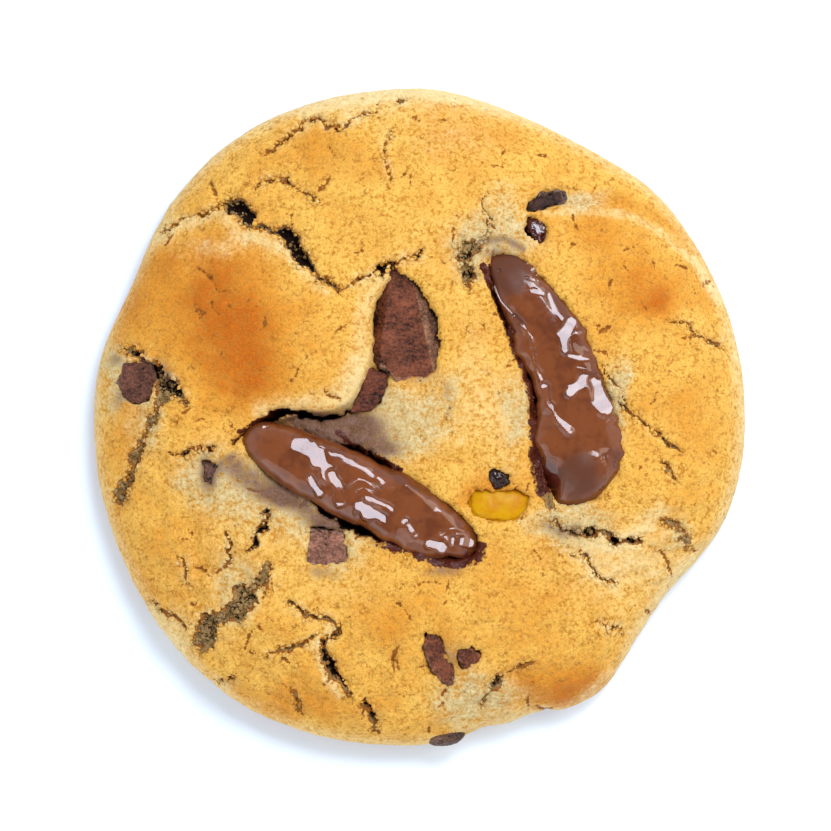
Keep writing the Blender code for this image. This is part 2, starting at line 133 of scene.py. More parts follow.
@dataclass(frozen=True)
class Course:
    """A smooth line over the top, through a few points of its own."""
    points: tuple[Point, ...]
    step: float = 0.7

    def curve(self) -> Array:
        """Points on a Catmull-Rom curve through the course's own points.

        Returns:
            One row for each point.
        """
        points = [np.array(point, float) for point in self.points]
        points = [2 * points[0] - points[1]] + points + [2 * points[-1] - points[-2]]
        runs = []
        for before, start, end, after in zip(points, points[1:], points[2:], points[3:]):
            count = max(2, round(float(np.linalg.norm(end - start)) / self.step))
            share = (np.arange(count) / count)[:, None]
            runs.append(0.5 * (2 * start + (end - before) * share
                               + (2 * before - 5 * start + 4 * end - after) * share ** 2
                               + (3 * start - before - 3 * end + after) * share ** 3))
        runs.append(points[-2][None, :])
        return np.concatenate(runs)

    def near(self, x: Array, y: Array) -> tuple[Array, Array, Array, Array]:
        """How places lie to the course.

        Args:
            x: places along X, in one row.
            y: places along Y, in one row.

        Returns:
            The way from the nearest point of the course along X and along Y, the share of the
            course's length where that point is, and the side: 1 on the right-hand side of its
            direction, -1 on the left.
        """
        curve = self.curve()
        start, run = curve[:-1], np.diff(curve, axis=0)
        length = np.linalg.norm(run, axis=1)
        before = np.concatenate(([0.0], np.cumsum(length)))
        away_x = x[:, None] - start[:, 0]
        away_y = y[:, None] - start[:, 1]
        along = np.clip((away_x * run[:, 0] + away_y * run[:, 1]) / length ** 2, 0.0, 1.0)
        away_x -= along * run[:, 0]
        away_y -= along * run[:, 1]
        distance = np.hypot(away_x, away_y)
        best = distance.argmin(axis=1)
        row = np.arange(len(x))
        share = (before[best] + along[row, best] * length[best]) / before[-1]
        turn = run[best, 1] * away_x[row, best] - run[best, 0] * away_y[row, best]
        return away_x[row, best], away_y[row, best], share, np.where(turn >= 0, 1.0, -1.0)

    def length(self) -> float:
        """Length of the curve."""
        return float(np.linalg.norm(np.diff(self.curve(), axis=0), axis=1).sum())

    def at(self, share: Array) -> Array:
        """Points of the curve at shares of its length."""
        curve = self.curve()
        run = np.concatenate(([0.0], np.cumsum(np.linalg.norm(np.diff(curve, axis=0), axis=1))))
        return np.column_stack([np.interp(share * run[-1], run, curve[:, axis]) for axis in (0, 1)])

    def within(self, x: Array, y: Array, reach: float) -> Array:
        """Which places lie in the course's box, widened by a reach."""
        curve = self.curve()
        low, high = curve.min(axis=0) - reach, curve.max(axis=0) + reach
        return np.flatnonzero((x > low[0]) & (x < high[0]) & (y > low[1]) & (y < high[1]))


# Mesh making

def outward(points: Array, faces: list[Array]) -> list[Array]:
    """Faces of a closed skin, turned over where its volume comes out negative.

    Args:
        points: the skin's points.
        faces: arrays of quads or triangles.

    Returns:
        The faces, all turned outwards.
    """
    volume = 0.0
    for group in faces:
        corners = points[group]
        for last in range(2, group.shape[1]):
            cross = np.cross(corners[:, last - 1], corners[:, last])
            volume += float(np.einsum("ij,ij->", corners[:, 0], cross))
    return [group[:, ::-1] for group in faces] if volume < 0 else faces


def make_piece(name: str, points: Array, faces: list[Array], finish: bpy.types.Material,
               fields: dict[str, Array] | None = None) -> bpy.types.Object:
    """Makes a closed piece with smooth shading.

    Args:
        name: the piece's name.
        points: its points in millimetres, one row each.
        faces: arrays of quads or triangles.
        finish: its material.
        fields: values at its points, by attribute name.

    Returns:
        The piece's object, at the origin.
    """
    mesh = bpy.data.meshes.new(name)
    corners = [corner for group in outward(points, faces) for corner in group.tolist()]
    mesh.from_pydata((points * MM).tolist(), [], corners)
    for label, values in (fields or {}).items():
        layer = mesh.attributes.new(label, "FLOAT", "POINT")
        layer.data.foreach_set("value", values.astype(np.float32))
    mesh.materials.append(finish)
    mesh.shade_smooth()
    piece = bpy.data.objects.new(name, mesh)
    bpy.context.scene.collection.objects.link(piece)
    return piece


def tube_faces(rows: int, columns: int) -> list[Array]:
    """Quads of a tube of point rings, and the triangles that close it to a point at each end.

    Args:
        rows: how many rings.
        columns: how many points a ring has. The two end points come after the rings.

    Returns:
        The quads and the end triangles.
    """
    row, column = np.meshgrid(np.arange(rows - 1), np.arange(columns), indexing="ij")
    beside = (column + 1) % columns
    quads = np.stack((row * columns + column, row * columns + beside,
                      (row + 1) * columns + beside, (row + 1) * columns + column), axis=-1)
    around = np.arange(columns)
    turned = (around + 1) % columns
    low, high = rows * columns, rows * columns + 1
    last = (rows - 1) * columns
    start = np.stack((turned, around, np.full(columns, low)), axis=-1)
    end = np.stack((last + around, last + turned, np.full(columns, high)), axis=-1)
    return [quads.reshape(-1, 4), np.concatenate((start, end))]


def make_tube(name: str, places: tuple[Array, Array, Array], ends: list[tuple[float, ...]],
              finish: bpy.types.Material, fields: dict[str, Array]) -> bpy.types.Object:
    """Makes a piece of point rings that is closed to a point at each end.

    Args:
        name: the piece's name.
        places: its points along X, Y and Z, with one row for each ring.
        ends: the two end points.
        finish: its material.
        fields: values at its points, by attribute name, with those of the end points last.

    Returns:
        The piece's object.
    """
    rows, columns = places[0].shape
    points = np.concatenate((np.column_stack([place.ravel() for place in places]), ends))
    return make_piece(name, points, tube_faces(rows, columns), finish, fields)


# Shader building

class Wire:
    """A shader socket that can be used in sums. Each operator adds its Math node."""

    def __init__(self, graph: "Nodes", socket: bpy.types.NodeSocket) -> None:
        """Keeps the tree that it belongs to and the socket."""
        self.graph = graph
        self.socket = socket

    def _math(self, operation: str, *values: "Wire | float") -> "Wire":
        """Adds a Math node of an operation on values."""
        inputs = dict(enumerate(values))
        return self.graph.add("ShaderNodeMath", {"operation": operation}, inputs).out()

    def __add__(self, other: "Wire | float") -> "Wire":
        """Sum."""
        return self._math("ADD", self, other)

    def __sub__(self, other: "Wire | float") -> "Wire":
        """Difference."""
        return self._math("SUBTRACT", self, other)

    def __rsub__(self, other: float) -> "Wire":
        """Difference from a number."""
        return self._math("SUBTRACT", other, self)

    def __mul__(self, other: "Wire | float") -> "Wire":
        """Product."""
        return self._math("MULTIPLY", self, other)

    __radd__ = __add__

    def above(self, level: float) -> "Wire":
        """1 where the value is over a level, otherwise 0."""
        return self._math("GREATER_THAN", self, level)

    def eased(self, low: float, high: float) -> "Wire":
        """Eases from 0 at one value to 1 at another, which may be the lower."""
        inputs = {"Value": self, "From Min": low, "From Max": high, "To Min": 0.0, "To Max": 1.0}
        return self.graph.add("ShaderNodeMapRange", {"interpolation_type": "SMOOTHSTEP"}, inputs).out()


class Added:
    """A node that was added, whose outputs are taken by name or number."""

    def __init__(self, graph: "Nodes", node: bpy.types.Node) -> None:
        """Keeps the tree that it belongs to and the node."""
        self.graph = graph
        self.node = node

    def out(self, key: str | int = 0) -> Wire:
        """One of the node's outputs."""
        return Wire(self.graph, self.node.outputs[key])


class Nodes:
    """A node tree, whose nodes are all added and filled in here."""

    def __init__(self, tree: bpy.types.NodeTree) -> None:
        """Keeps the tree."""
        self.tree = tree

    def fill(self, node: bpy.types.Node, inputs: dict) -> None:
        """Sets or links a node's sockets.

        Args:
            node: the node.
            inputs: values or wires of its sockets, by name or number.
        """
        for label, value in inputs.items():
            if isinstance(value, Wire):
                self.tree.links.new(value.socket, node.inputs[label])
            else:
                node.inputs[label].default_value = value

    def add(self, kind: str, settings: dict | None = None, inputs: dict | None = None) -> Added:
        """Adds a node.

        Args:
            kind: the node's type.
            settings: its properties, which are set first.
            inputs: values or wires of its sockets, by name or number.

        Returns:
            The added node.
        """
        node = self.tree.nodes.new(kind)
        for label, value in (settings or {}).items():
            setattr(node, label, value)
        self.fill(node, inputs or {})
        return Added(self, node)


class Graph(Nodes):
    """A material's node tree, with a Principled shader at its end."""

    def __init__(self, name: str) -> None:
        """Makes a new material with an empty tree, its shader and its coordinates in millimetres."""
        self.material = bpy.data.materials.new(name)
        self.material.use_nodes = True
        super().__init__(self.material.node_tree)
        self.tree.nodes.clear()
        self.shader = self.add("ShaderNodeBsdfPrincipled")
        self.add("ShaderNodeOutputMaterial", {}, {"Surface": self.shader.out("BSDF")})
        self.place = self.scaled(self.add("ShaderNodeTexCoord").out("Object"), (1.0 / MM,) * 3)

    def scaled(self, place: Wire, scale: tuple[float, ...]) -> Wire:
        """Coordinates multiplied along each axis."""
        return self.add("ShaderNodeMapping", {}, {"Vector": place, "Scale": scale}).out()

    def grain(self, size: float, detail: float = 2.0, roughness: float = 0.55,
              stretch: tuple[float, float, float] | None = None) -> Wire:
        """Noise from -0.5 to 0.5 whose features are about the given size in millimetres."""
        place = self.scaled(self.place, stretch) if stretch else self.place
        inputs = {"Vector": place, "Scale": 1.0 / size, "Detail": detail, "Roughness": roughness}
        return self.add("ShaderNodeTexNoise", {}, inputs).out(0) - 0.5

    def cells(self, size: float, unevenness: Wire, wander: float) -> tuple[Wire, Wire]:
        """Scattered spots with uneven outlines.

        Args:
            size: distance between the spots.
            unevenness: noise that shifts the places, about 0.
            wander: how strongly it shifts them.

        Returns:
            The distance to the nearest spot in cell sizes, and a random value of that spot.
        """
        shift = self.grey(unevenness * (2.0 * wander))
        moved = self.add("ShaderNodeVectorMath", {"operation": "ADD"}, {0: self.place, 1: shift}).out()
        inputs = {"Vector": moved, "Scale": 1.0 / size}
        node = self.add("ShaderNodeTexVoronoi", {"feature": "F1"}, inputs)
        return node.out("Distance"), self.add("ShaderNodeSeparateColor", {}, {0: node.out("Color")}).out(0)

    def field(self, name: str) -> Wire:
        """A value stored at the piece's points."""
        return self.add("ShaderNodeAttribute", {"attribute_name": name}).out("Fac")

    def blend(self, factor: "Wire | float", first: "Wire | tuple", second: "Wire | tuple",
              kind: str = "MIX") -> Wire:
        """Mixes two colours.

        Args:
            factor: share of the second colour.
            first: colour or wire.
            second: colour or wire.
            kind: how they are mixed.

        Returns:
            The mixed colour.
        """
        colours = [value if isinstance(value, Wire) else (*value, 1.0) for value in (first, second)]
        settings = {"data_type": "RGBA", "blend_type": kind, "clamp_factor": True}
        inputs = {0: factor, 6: colours[0], 7: colours[1]}
        return self.add("ShaderNodeMix", settings, inputs).out(2)

    def grey(self, value: Wire) -> Wire:
        """A colour whose three parts are one value."""
        return self.add("ShaderNodeCombineColor", {}, {0: value, 1: value, 2: value}).out()

    def finish(self, sockets: dict, bump: Wire | None = None, strength: float = 1.0) -> bpy.types.Material:
        """Sets the shader's sockets.

        Args:
            sockets: values or wires of the shader, by name.
            bump: relief in millimetres.
            strength: how strongly the relief shows.

        Returns:
            The finished material.
        """
        if bump is not None:
            inputs = {"Height": bump, "Distance": MM, "Strength": strength}
            sockets = {**sockets, "Normal": self.add("ShaderNodeBump", {}, inputs).out()}
        self.fill(self.shader.node, sockets)
        return self.material


def linear(red: int, green: int, blue: int, light: float = 1.0) -> tuple[float, float, float]:
    """Linear colour of a display colour from 0 to 255, divided by the light that falls on it."""
    parts = [value / 255.0 for value in (red, green, blue)]
    return tuple((part / 12.92 if part <= 0.04045 else ((part + 0.055) / 1.055) ** 2.4) / light
                 for part in parts)


# Finishes

@dataclass(frozen=True)
class Tint:
    """A colour that a field brings to the dough.

    It starts to show at the first value of its range and covers fully at the second. Mottle and
    crumb are the shares of two noises. They scale a gated field, so that nothing shows where the
    field is 0, and are added to any other field.
    """
    field: str
    colour: Colour
    shown: Point
    mottle: float
    crumb: float
    gated: bool = True

    def cover(self, graph: Graph, mottle: Wire, crumb: Wire) -> Wire:
        """How far the colour covers what is under it.

        Args:
            graph: the material's graph.
            mottle: soft blotches, about 0.
            crumb: fine grain, about 0.

        Returns:
            The cover from 0 to 1.
        """
        field = graph.field(self.field)
        noise = mottle * self.mottle + crumb * self.crumb
        return (field * (1.0 + noise) if self.gated else field + noise).eased(*self.shown)


@dataclass(frozen=True)
class DoughFinish:
    """Baked dough: golden, browner on the crowns, cream at the lips, grey-beige by the cocoa.

    A range is a pair of values: where a thing starts to show and where it covers fully.
    """
    light: float = 1.50
    gold: Colour = (246, 190, 86)
    baked: tuple[Tint, ...] = (
        Tint("bake", (229, 153, 48), (-0.15, 0.55), 0.9, 0.9, False),
        Tint("bake", (202, 106, 14), (0.40, 1.20), 0.9, 0.9, False),
    )
    # Pits: browner crumb where the grain sinks, partly painted shade in those hollows.
    pit: Colour = (222, 148, 54)
    pit_range: Point = (0.0, -0.18)
    pit_mottle: float = 0.6
    pit_strength: float = 0.55
    cream: Tint = Tint("cream", (250, 217, 151), (0.10, 1.05), 0.6, 0.4, False)
    cocoa: Tint = Tint("cocoa", (222, 192, 132), (0.05, 1.0), 2.0, 2.0)
    # Slit goes at the edges of splits, in the hair slits and in pores: the broken crust's browner colour,
    # partly painted shade.
    slit: Colour = (166, 98, 30)
    crack: Colour = (174, 140, 88)
    edge_crumb: float = 0.8
    inside_range: Point = (0.08, -0.10)
    crack_range: Point = (-0.20, -0.50)
    # Cocoa smears on the dough, and beside the left stick partly painted shadow.
    smear_and_shadow: Tint = Tint("smear_and_shadow", (134, 98, 78), (0.05, 1.15), 1.2, 1.0)
    # Painted shade: near-black at the bottom of splits and pockets, for the shade that falls there.
    painted_depth_shade: Tint = Tint("painted_shade", (34, 15, 6), (0.47, 0.63), 1.0, 1.0)
    syrup: Tint = Tint("syrup", (88, 34, 20), (0.40, 0.58), 2.4, 1.8)
    pore_spacing: float = 1.7
    pore_wander: float = 0.7
    pore_range: Point = (0.22, 0.08)
    pore_chance: float = 0.80
    pore_strength: float = 0.6
    # Shares by channel of the grain, which also paints light and shade on its tops and hollows.
    grain_and_shade_shares: tuple[float, float, float] = (0.8, 1.2, 2.0)
    cream_calm: float = 0.5
    roughness: float = 0.74
    wet_shine: float = 0.45
    slot: str = "baked_dough"

    def over(self, graph: Graph, shade: Wire | tuple, colour: Colour, cover: Wire) -> Wire:
        """Lays one of the dough's colours over a shade."""
        return graph.blend(cover, shade, linear(*colour, self.light))

    def material(self) -> bpy.types.Material:
        """The dough's material, which reads the fields that the skin's points carry.

        The baked colours come first, then pits, which are browner crumb and partly painted shade
        in the grain's hollows, cream, partly painted light at the lips, cocoa, the insides of the
        splits, partly painted shade in the narrow ones, smears, partly painted shadow, the painted
        shade at the bottom of splits and pockets, syrup, and pores, which are painted shade in
        small holes. A grain from the same noises as the relief then scales each channel by its
        own share: partly the dough's own grain, partly painted light and shade on its tops and
        hollows.
        """
        graph = Graph("baked_dough")
        clouds = graph.grain(5.0, 3.0)
        mottle = graph.grain(1.5, 3.0, 0.6)
        crumb = graph.grain(0.55, 2.0, 0.6)
        dust = graph.grain(0.26, 1.0)
        shade = linear(*self.gold, self.light)
        for tint in self.baked:
            shade = self.over(graph, shade, tint.colour, tint.cover(graph, mottle + clouds, crumb))
        # Painted shade in the grain's hollows, where the relief's crumb noise is low.
        pits = (crumb + mottle * self.pit_mottle).eased(*self.pit_range)
        shade = self.over(graph, shade, self.pit, pits * self.pit_strength)
        cream = self.cream.cover(graph, mottle, crumb)
        shade = self.over(graph, shade, self.cream.colour, cream)
        shade = self.over(graph, shade, self.cocoa.colour, self.cocoa.cover(graph, mottle, crumb))
        gap = graph.field("gap") + crumb * self.edge_crumb
        slit = linear(*self.slit, self.light)
        inside = self.over(graph, slit, self.crack, gap.eased(*self.crack_range))
        shade = graph.blend(gap.eased(*self.inside_range), shade, inside)
        # Smears, partly painted shadow, then painted shade at the bottom of splits and pockets.
        for tint in (self.smear_and_shadow, self.painted_depth_shade):
            shade = self.over(graph, shade, tint.colour, tint.cover(graph, mottle, crumb))
        wet = self.syrup.cover(graph, mottle, crumb)
        shade = self.over(graph, shade, self.syrup.colour, wet)
        # Pores: painted shade in small holes that the relief also sinks.
        reach, chance = graph.cells(self.pore_spacing, crumb, self.pore_wander)
        pores = reach.eased(*self.pore_range) * chance.above(self.pore_chance)
        shade = self.over(graph, shade, self.slit, pores * self.pore_strength)
        # Grain from the same noises as the relief: partly the dough's own grain, partly painted light and
        # shade on its tops and hollows.
        grain_and_shade = (crumb * 1.10 + dust * 0.70 + mottle * 0.70) * (1.0 - cream * self.cream_calm)
        tones = {channel: 1.0 + grain_and_shade * share for channel, share in enumerate(self.grain_and_shade_shares)}
        shade = graph.blend(1.0, shade, graph.add("ShaderNodeCombineColor", {}, tones).out(), "MULTIPLY")
        relief = mottle * 0.34 + crumb * 0.14 + dust * 0.04 - pores * 0.10
        return graph.finish({
            "Base Color": shade,
            "Roughness": self.roughness - wet * self.wet_shine,
            "Specular IOR Level": 0.15,
            "Subsurface Weight": 0.10,
            "Subsurface Radius": (1.0, 0.55, 0.25),
            "Subsurface Scale": 0.0010,
        }, relief)


@dataclass(frozen=True)
class MeltedFinish:
    """Milk chocolate that melted and set again, with a wet gloss."""
    name: str
    body: Colour = (147, 79, 40)
    dark: Colour = (120, 60, 30)
    dull: Colour = (114, 66, 46)
    red: Colour = (92, 34, 22)
    light: float = 1.80
    roughness: float = 0.14
    dark_range: Point = (0.10, -0.12)
    red_range: Point = (0.30, 0.70)
    dull_range: Point = (0.25, 0.80)
    dull_roughness: float = 0.25
    dull_coat_loss: float = 0.96
    slot: str = "melted_chocolate"

    def material(self) -> bpy.types.Material:
        """The melted chocolate's material, which reads where it is dull and where it is red."""
        graph = Graph(self.name)
        clouds = graph.grain(5.0, 3.0)
        streaks = graph.grain(1.4, 3.0, 0.6)
        fine = graph.grain(0.35, 2.0)
        dark = (clouds * 0.7 + streaks * 0.4).eased(*self.dark_range)
        red = (graph.field("red") + streaks * 1.2 + fine * 0.8).eased(*self.red_range)
        dull = (graph.field("dull") + streaks * 0.8).eased(*self.dull_range)
        shade = linear(*self.body, self.light)
        for cover, colour in ((dark, self.dark), (red, self.red), (dull, self.dull)):
            shade = graph.blend(cover, shade, linear(*colour, self.light))
        return graph.finish({
            "Base Color": shade,
            "Roughness": self.roughness + streaks * 0.10 + dull * self.dull_roughness,
            "Specular IOR Level": 0.15,
            "Coat Weight": 1.0 - dull * self.dull_coat_loss,
            "Coat Roughness": 0.03,
            "Coat IOR": 1.34,
        }, streaks * 0.06 + fine * 0.008, 0.4)


@dataclass(frozen=True)
class DullFinish:
    """Broken milk chocolate: dull, finely scratched, with pale grains on its worn edges.

    The contrasts are how strongly clouds, scratches and grit lighten or darken it.
    """
    name: str
    body: Colour = (124, 68, 46)
    worn: Colour = (154, 110, 86)
    light: float = 1.75
    worn_range: Point = (0.35, 0.95)
    contrasts: tuple[float, float, float] = (2.4, 2.6, 3.2)
    slot: str = "dull_chocolate"

    def material(self) -> bpy.types.Material:
        """The dull chocolate's material, which reads how worn the piece is at each point."""
        graph = Graph(self.name)
        clouds = graph.grain(4.0, 3.0)
        scratches = graph.grain(1.1, 3.0, 0.7, (0.8, 1.4, 1.0))
        grit = graph.grain(0.4, 3.0, 0.65)
        worn = graph.field("worn") + grit * 0.9 + clouds * 0.5
        shade = graph.blend(worn.eased(*self.worn_range), linear(*self.body, self.light),
                            linear(*self.worn, self.light))
        light = 1.0 + clouds * self.contrasts[0] + scratches * self.contrasts[1] + grit * self.contrasts[2]
        shade = graph.blend(1.0, shade, graph.grey(light), "MULTIPLY")
        worn_grit = (grit + 0.5) * worn.eased(0.0, 1.0) * 0.25
        relief = clouds * 0.8 + scratches * 0.35 + worn_grit + grit * 0.06
        return graph.finish({
            "Base Color": shade,
            "Roughness": 0.55 + grit * 0.3,
            "Specular IOR Level": 0.15,
        }, relief)


@dataclass(frozen=True)
class CaramelFinish:
    """Smooth yellow-orange caramel that shines softly."""
    body: Colour = (239, 176, 12)
    edge: Colour = (226, 148, 8)
    light: float = 1.70
    edge_range: Point = (-0.15, 0.2)
    slot: str = "baked_caramel"

    def material(self) -> bpy.types.Material:
        """The caramel's material."""
        graph = Graph("baked_caramel")
        clouds = graph.grain(3.0, 3.0)
        fine = graph.grain(0.5, 2.0)
        shade = graph.blend((clouds + fine * 0.3).eased(*self.edge_range),
                            linear(*self.body, self.light), linear(*self.edge, self.light))
        return graph.finish({
            "Base Color": shade,
            "Roughness": 0.45 + fine * 0.1,
            "Specular IOR Level": 0.06,
            "Subsurface Weight": 0.25,
            "Subsurface Radius": (1.0, 0.5, 0.15),
            "Subsurface Scale": 0.0015,
            "Coat Weight": 0.06,
            "Coat Roughness": 0.25,
        }, clouds * 0.10 + fine * 0.03, 0.6)


PieceFinish = DullFinish | MeltedFinish | CaramelFinish


# Dough

@dataclass(frozen=True)
class RimSwell:
    """A place where the rim stands out, or in where the offset is negative."""
    bearing: float
    spread: float
    offset: float


@dataclass(frozen=True)
class Mound:
    """A soft swelling, hollow or patch: its middle, its reach along X and Y, and its strength."""
    middle: Point
    reach: Point
    strength: float

    def at(self, x: Array, y: Array) -> Array:
        """Strength at a place, which fades as a bell curve."""
        across = (x - self.middle[0]) / self.reach[0]
        along = (y - self.middle[1]) / self.reach[1]
        return self.strength * np.exp(-across ** 2 - along ** 2)


def mounds(*rows: tuple[float, float, float, float, float]) -> tuple[Mound, ...]:
    """Mounds from rows of a middle's X and Y, the reach along X and Y, and a strength."""
    return tuple(Mound(row[:2], row[2:4], row[4]) for row in rows)


@dataclass(frozen=True)
class Trail:
    """A soft band beside a course: its reach, how far to the right it lies, and its strength."""
    course: Course
    reach: float
    aside: float
    strength: float
    run_out: float = 0.06

    def at(self, x: Array, y: Array) -> Array:
        """Strength at a place, which fades across the band and at both ends of the course.

        Args:
            x: places along X.
            y: places along Y.

        Returns:
            The strength at each place.
        """
        place = self.course.within(x, y, 3.0 * self.reach + abs(self.aside))
        away_x, away_y, share, side = self.course.near(x[place], y[place])
        across = (side * np.hypot(away_x, away_y) - self.aside) / self.reach
        ends = eased(share / self.run_out) * eased((1.0 - share) / self.run_out)
        strength = np.zeros(np.shape(x))
        strength[place] = self.strength * np.exp(-across ** 2) * ends
        return strength


def together(forms: tuple, x: Array, y: Array) -> Array:
    """Sum of what mounds, trails or other forms give at places in plan."""
    total = np.zeros(np.shape(x))
    for form in forms:
        total += form.at(x, y)
    return total


@dataclass(frozen=True)
class Shoulder:
    """A rounded step in the top, which drops on the right-hand side of its course.

    At the course itself the low side has eased in by `start`, and the high side sinks by the
    share `rounding` of the drop.
    """
    course: Course
    drop: float
    edge: float
    reach: float
    start: float = 0.35
    rounding: float = 0.25
    run_out: float = 0.07

    def at(self, x: Array, y: Array) -> Array:
        """Height of the step: full drop just past the course, which fades over its reach.

        Args:
            x: places along X.
            y: places along Y.

        Returns:
            The height at each place.
        """
        place = self.course.within(x, y, 3.0 * self.reach)
        away_x, away_y, share, side = self.course.near(x[place], y[place])
        distance = np.hypot(away_x, away_y)
        ends = eased(share / self.run_out) * eased((1.0 - share) / self.run_out)
        low_side = eased(self.start + distance / self.edge) * np.exp(-(distance / self.reach) ** 2)
        high_side = self.rounding * np.exp(-(distance / self.edge) ** 2)
        height = np.zeros(np.shape(x))
        height[place] = -self.drop * ends * np.where(side > 0, low_side, high_side)
        return height


class Opening(Enum):
    """How a split looks inside: the share of its depth that crumbs take up, how many crumbs
    lie in it, how strong the painted shade in it is, and how sharp the edge of its colour is.
    """
    OPEN = (0.0, 0.08, 1.0, 2.5)
    CRUMBLY = (0.38, 0.9, 0.86, 2.5)
    HAIR = (0.1, 0.08, 1.0, 1.0)

    def __init__(self, fill: float, crumbs: float, painted_shade_share: float, sharpness: float) -> None:
        """Keeps the four values under their names."""
        self.fill = fill
        self.crumbs = crumbs
        self.painted_shade_share = painted_shade_share
        self.sharpness = sharpness


@dataclass(frozen=True)
class Split:
    """A crack in the dough: its course, full width, depth, and how it looks inside."""
    course: Course
    width: float
    depth: float
    opening: Opening = Opening.OPEN


def split(points: tuple[Point, ...], width: float, depth: float, opening: Opening = Opening.OPEN) -> Split:
    """Shorthand for a split through its points."""
    return Split(Course(points), width, depth, opening)


LEFT_STEP = Course(((-26, -1), (-18, 0.5), (-11, 2), (-7.5, 9), (-7.2, 16), (-4, 22)), 2.0)
RIGHT_STEP = Course(((46, 16.5), (40, 25.5), (33, 30), (25, 31.5), (17, 31)), 2.0)


@dataclass
class Skin:
    """The dough's skin as it is worked: places in plan, height, and the fields at each point."""
    x: Array
    y: Array
    share: Array
    height: Array
    normal_out: Array
    normal_up: Array
    bearing: Array
    unrolled_x: Array
    unrolled_y: Array
    push: Array
    gap: Array
    painted_shade: Array
    lip: Array
    crumbs: Array
    raised: Array


@dataclass(frozen=True)
class Carving:
    """How splits are cut: their rounded edges, the plate that stands up beside them, and the
    depth at which the painted shade in them is full.
    """
    round_over: float = 0.30
    round_reach: float = 0.45
    plate_height: float = 0.30
    plate_reach: float = 1.5
    lip_reach: float = 0.8
    painted_shade_full_depth: float = 2.2
    far: float = 1.5

    def carve(self, skin: Skin, cut: Split, wander: tuple[Array, Array], seed: int,
              lipped: bool) -> None:
        """Cuts one split into the skin, with uneven width and ragged sides.

        The split is deepest along its course and narrows and runs out towards both ends. Its
        depth grows with the 0.6th power of the share of the way in, less its own fill. Both
        edges are rounded over. On the right-hand side of a lipped split the plate of dough
        stands up a little, and sinks back over its reach.

        Args:
            skin: the skin, whose push, raised, gap, lip and crumbs fields change, and its field of painted
                shade.
            cut: the split.
            wander: how far each place is shifted before its distance is taken.
            seed: seed of the split's own unevenness.
            lipped: whether its plate stands up and its lips stay pale, partly as painted light.
        """
        x, y = skin.x + wander[0], skin.y + wander[1]
        place = cut.course.within(x, y, 4.0)
        if not len(place):
            return
        away_x, away_y, share, side = cut.course.near(x[place], y[place])
        distance = np.hypot(away_x, away_y)
        unevenness = 0.85 + Lumps(1.5, 0.50, seed).at(share * cut.course.length(), share * 0.0)
        taper = np.clip(4.0 * share * (1.0 - share), 0.0, 1.0) ** 0.4
        half = 0.5 * cut.width * (0.25 + 0.75 * taper) * unevenness
        gap = distance - half
        depth = cut.depth * (0.3 + 0.7 * taper) * np.clip(unevenness, 0.5, 1.1)
        inward = np.clip(-gap / np.maximum(half, 0.15), 0.0, 1.0)
        outside = np.clip(gap, 0.0, None)
        floor = inward ** 0.6 * (1.0 - cut.opening.fill * inward ** 2)
        rounding = self.round_over * min(cut.width, 1.2) * np.exp(-(outside / self.round_reach) ** 2)
        push = -depth * floor - rounding * np.where(gap > 0, 1.0, np.exp(-inward * 4.0))
        if lipped:
            plate = min(cut.width, 1.6) * np.exp(-outside / self.plate_reach) * (side > 0) * taper
            skin.raised[place] = np.maximum(skin.raised[place], self.plate_height * plate)
            # Pale lips: partly paler crumb at the break, partly painted light on the raised edges.
            lip = np.exp(-(outside / self.lip_reach) ** 2) * (gap > 0) * taper
            skin.lip[place] = np.maximum(skin.lip[place], lip)
            edge = 0.35 * np.exp(-((gap - 0.04) / 0.22) ** 2) * min(cut.width, 1.0)
            crumbs = edge + (gap < 0) * cut.opening.crumbs
            skin.crumbs[place] = np.maximum(skin.crumbs[place], crumbs)
        near = gap < self.far
        skin.push[place] = np.where(near, np.minimum(skin.push[place], push), skin.push[place])
        skin.gap[place] = np.minimum(skin.gap[place], gap * cut.opening.sharpness)
        # Painted shade: darker the deeper the split, for the shade inside it.
        painted_shade = np.clip(depth * floor / self.painted_shade_full_depth, 0.0, 1.0) * cut.opening.painted_shade_share
        skin.painted_shade[place] = np.maximum(skin.painted_shade[place], painted_shade)


@dataclass(frozen=True)
class StraySlits:
    """Small slits at random over the top, more of them towards the rim."""
    count: int = 170
    seed: int = 31
    first_seed: int = 1000
    lengths: tuple[float, float, float] = (0.8, 1.4, 2.6)
    chances: tuple[float, float, float] = (0.5, 0.35, 0.15)
    widths: Point = (0.28, 0.60)

    def splits(self, radius: float) -> list[tuple[Split, int]]:
        """The slits, drawn one after the other.

        Args:
            radius: the dough's radius.

        Returns:
            Each slit with the seed of its own unevenness.
        """
        rng = np.random.default_rng(self.seed)
        slits = []
        for number in range(self.count):
            share = rng.uniform(0.15, 0.97) ** 0.7
            bearing = rng.uniform(0.0, 2 * np.pi)
            middle = share * radius * np.array((np.cos(bearing), np.sin(bearing)))
            heading = rng.uniform(0.0, np.pi)
            length = rng.uniform(0.5, 1.0) * rng.choice(self.lengths, p=self.chances)
            along = length * np.array((np.cos(heading), np.sin(heading)))
            bend = 0.3 * length * rng.uniform(-1, 1) * np.array((-np.sin(heading), np.cos(heading)))
            points = tuple(map(tuple, (middle - along, middle + bend, middle + along)))
            width = rng.uniform(*self.widths)
            slit = Split(Course(points, 0.5), width, 1.2 * width, Opening.HAIR)
            slits.append((slit, self.first_seed + number))
        return slits


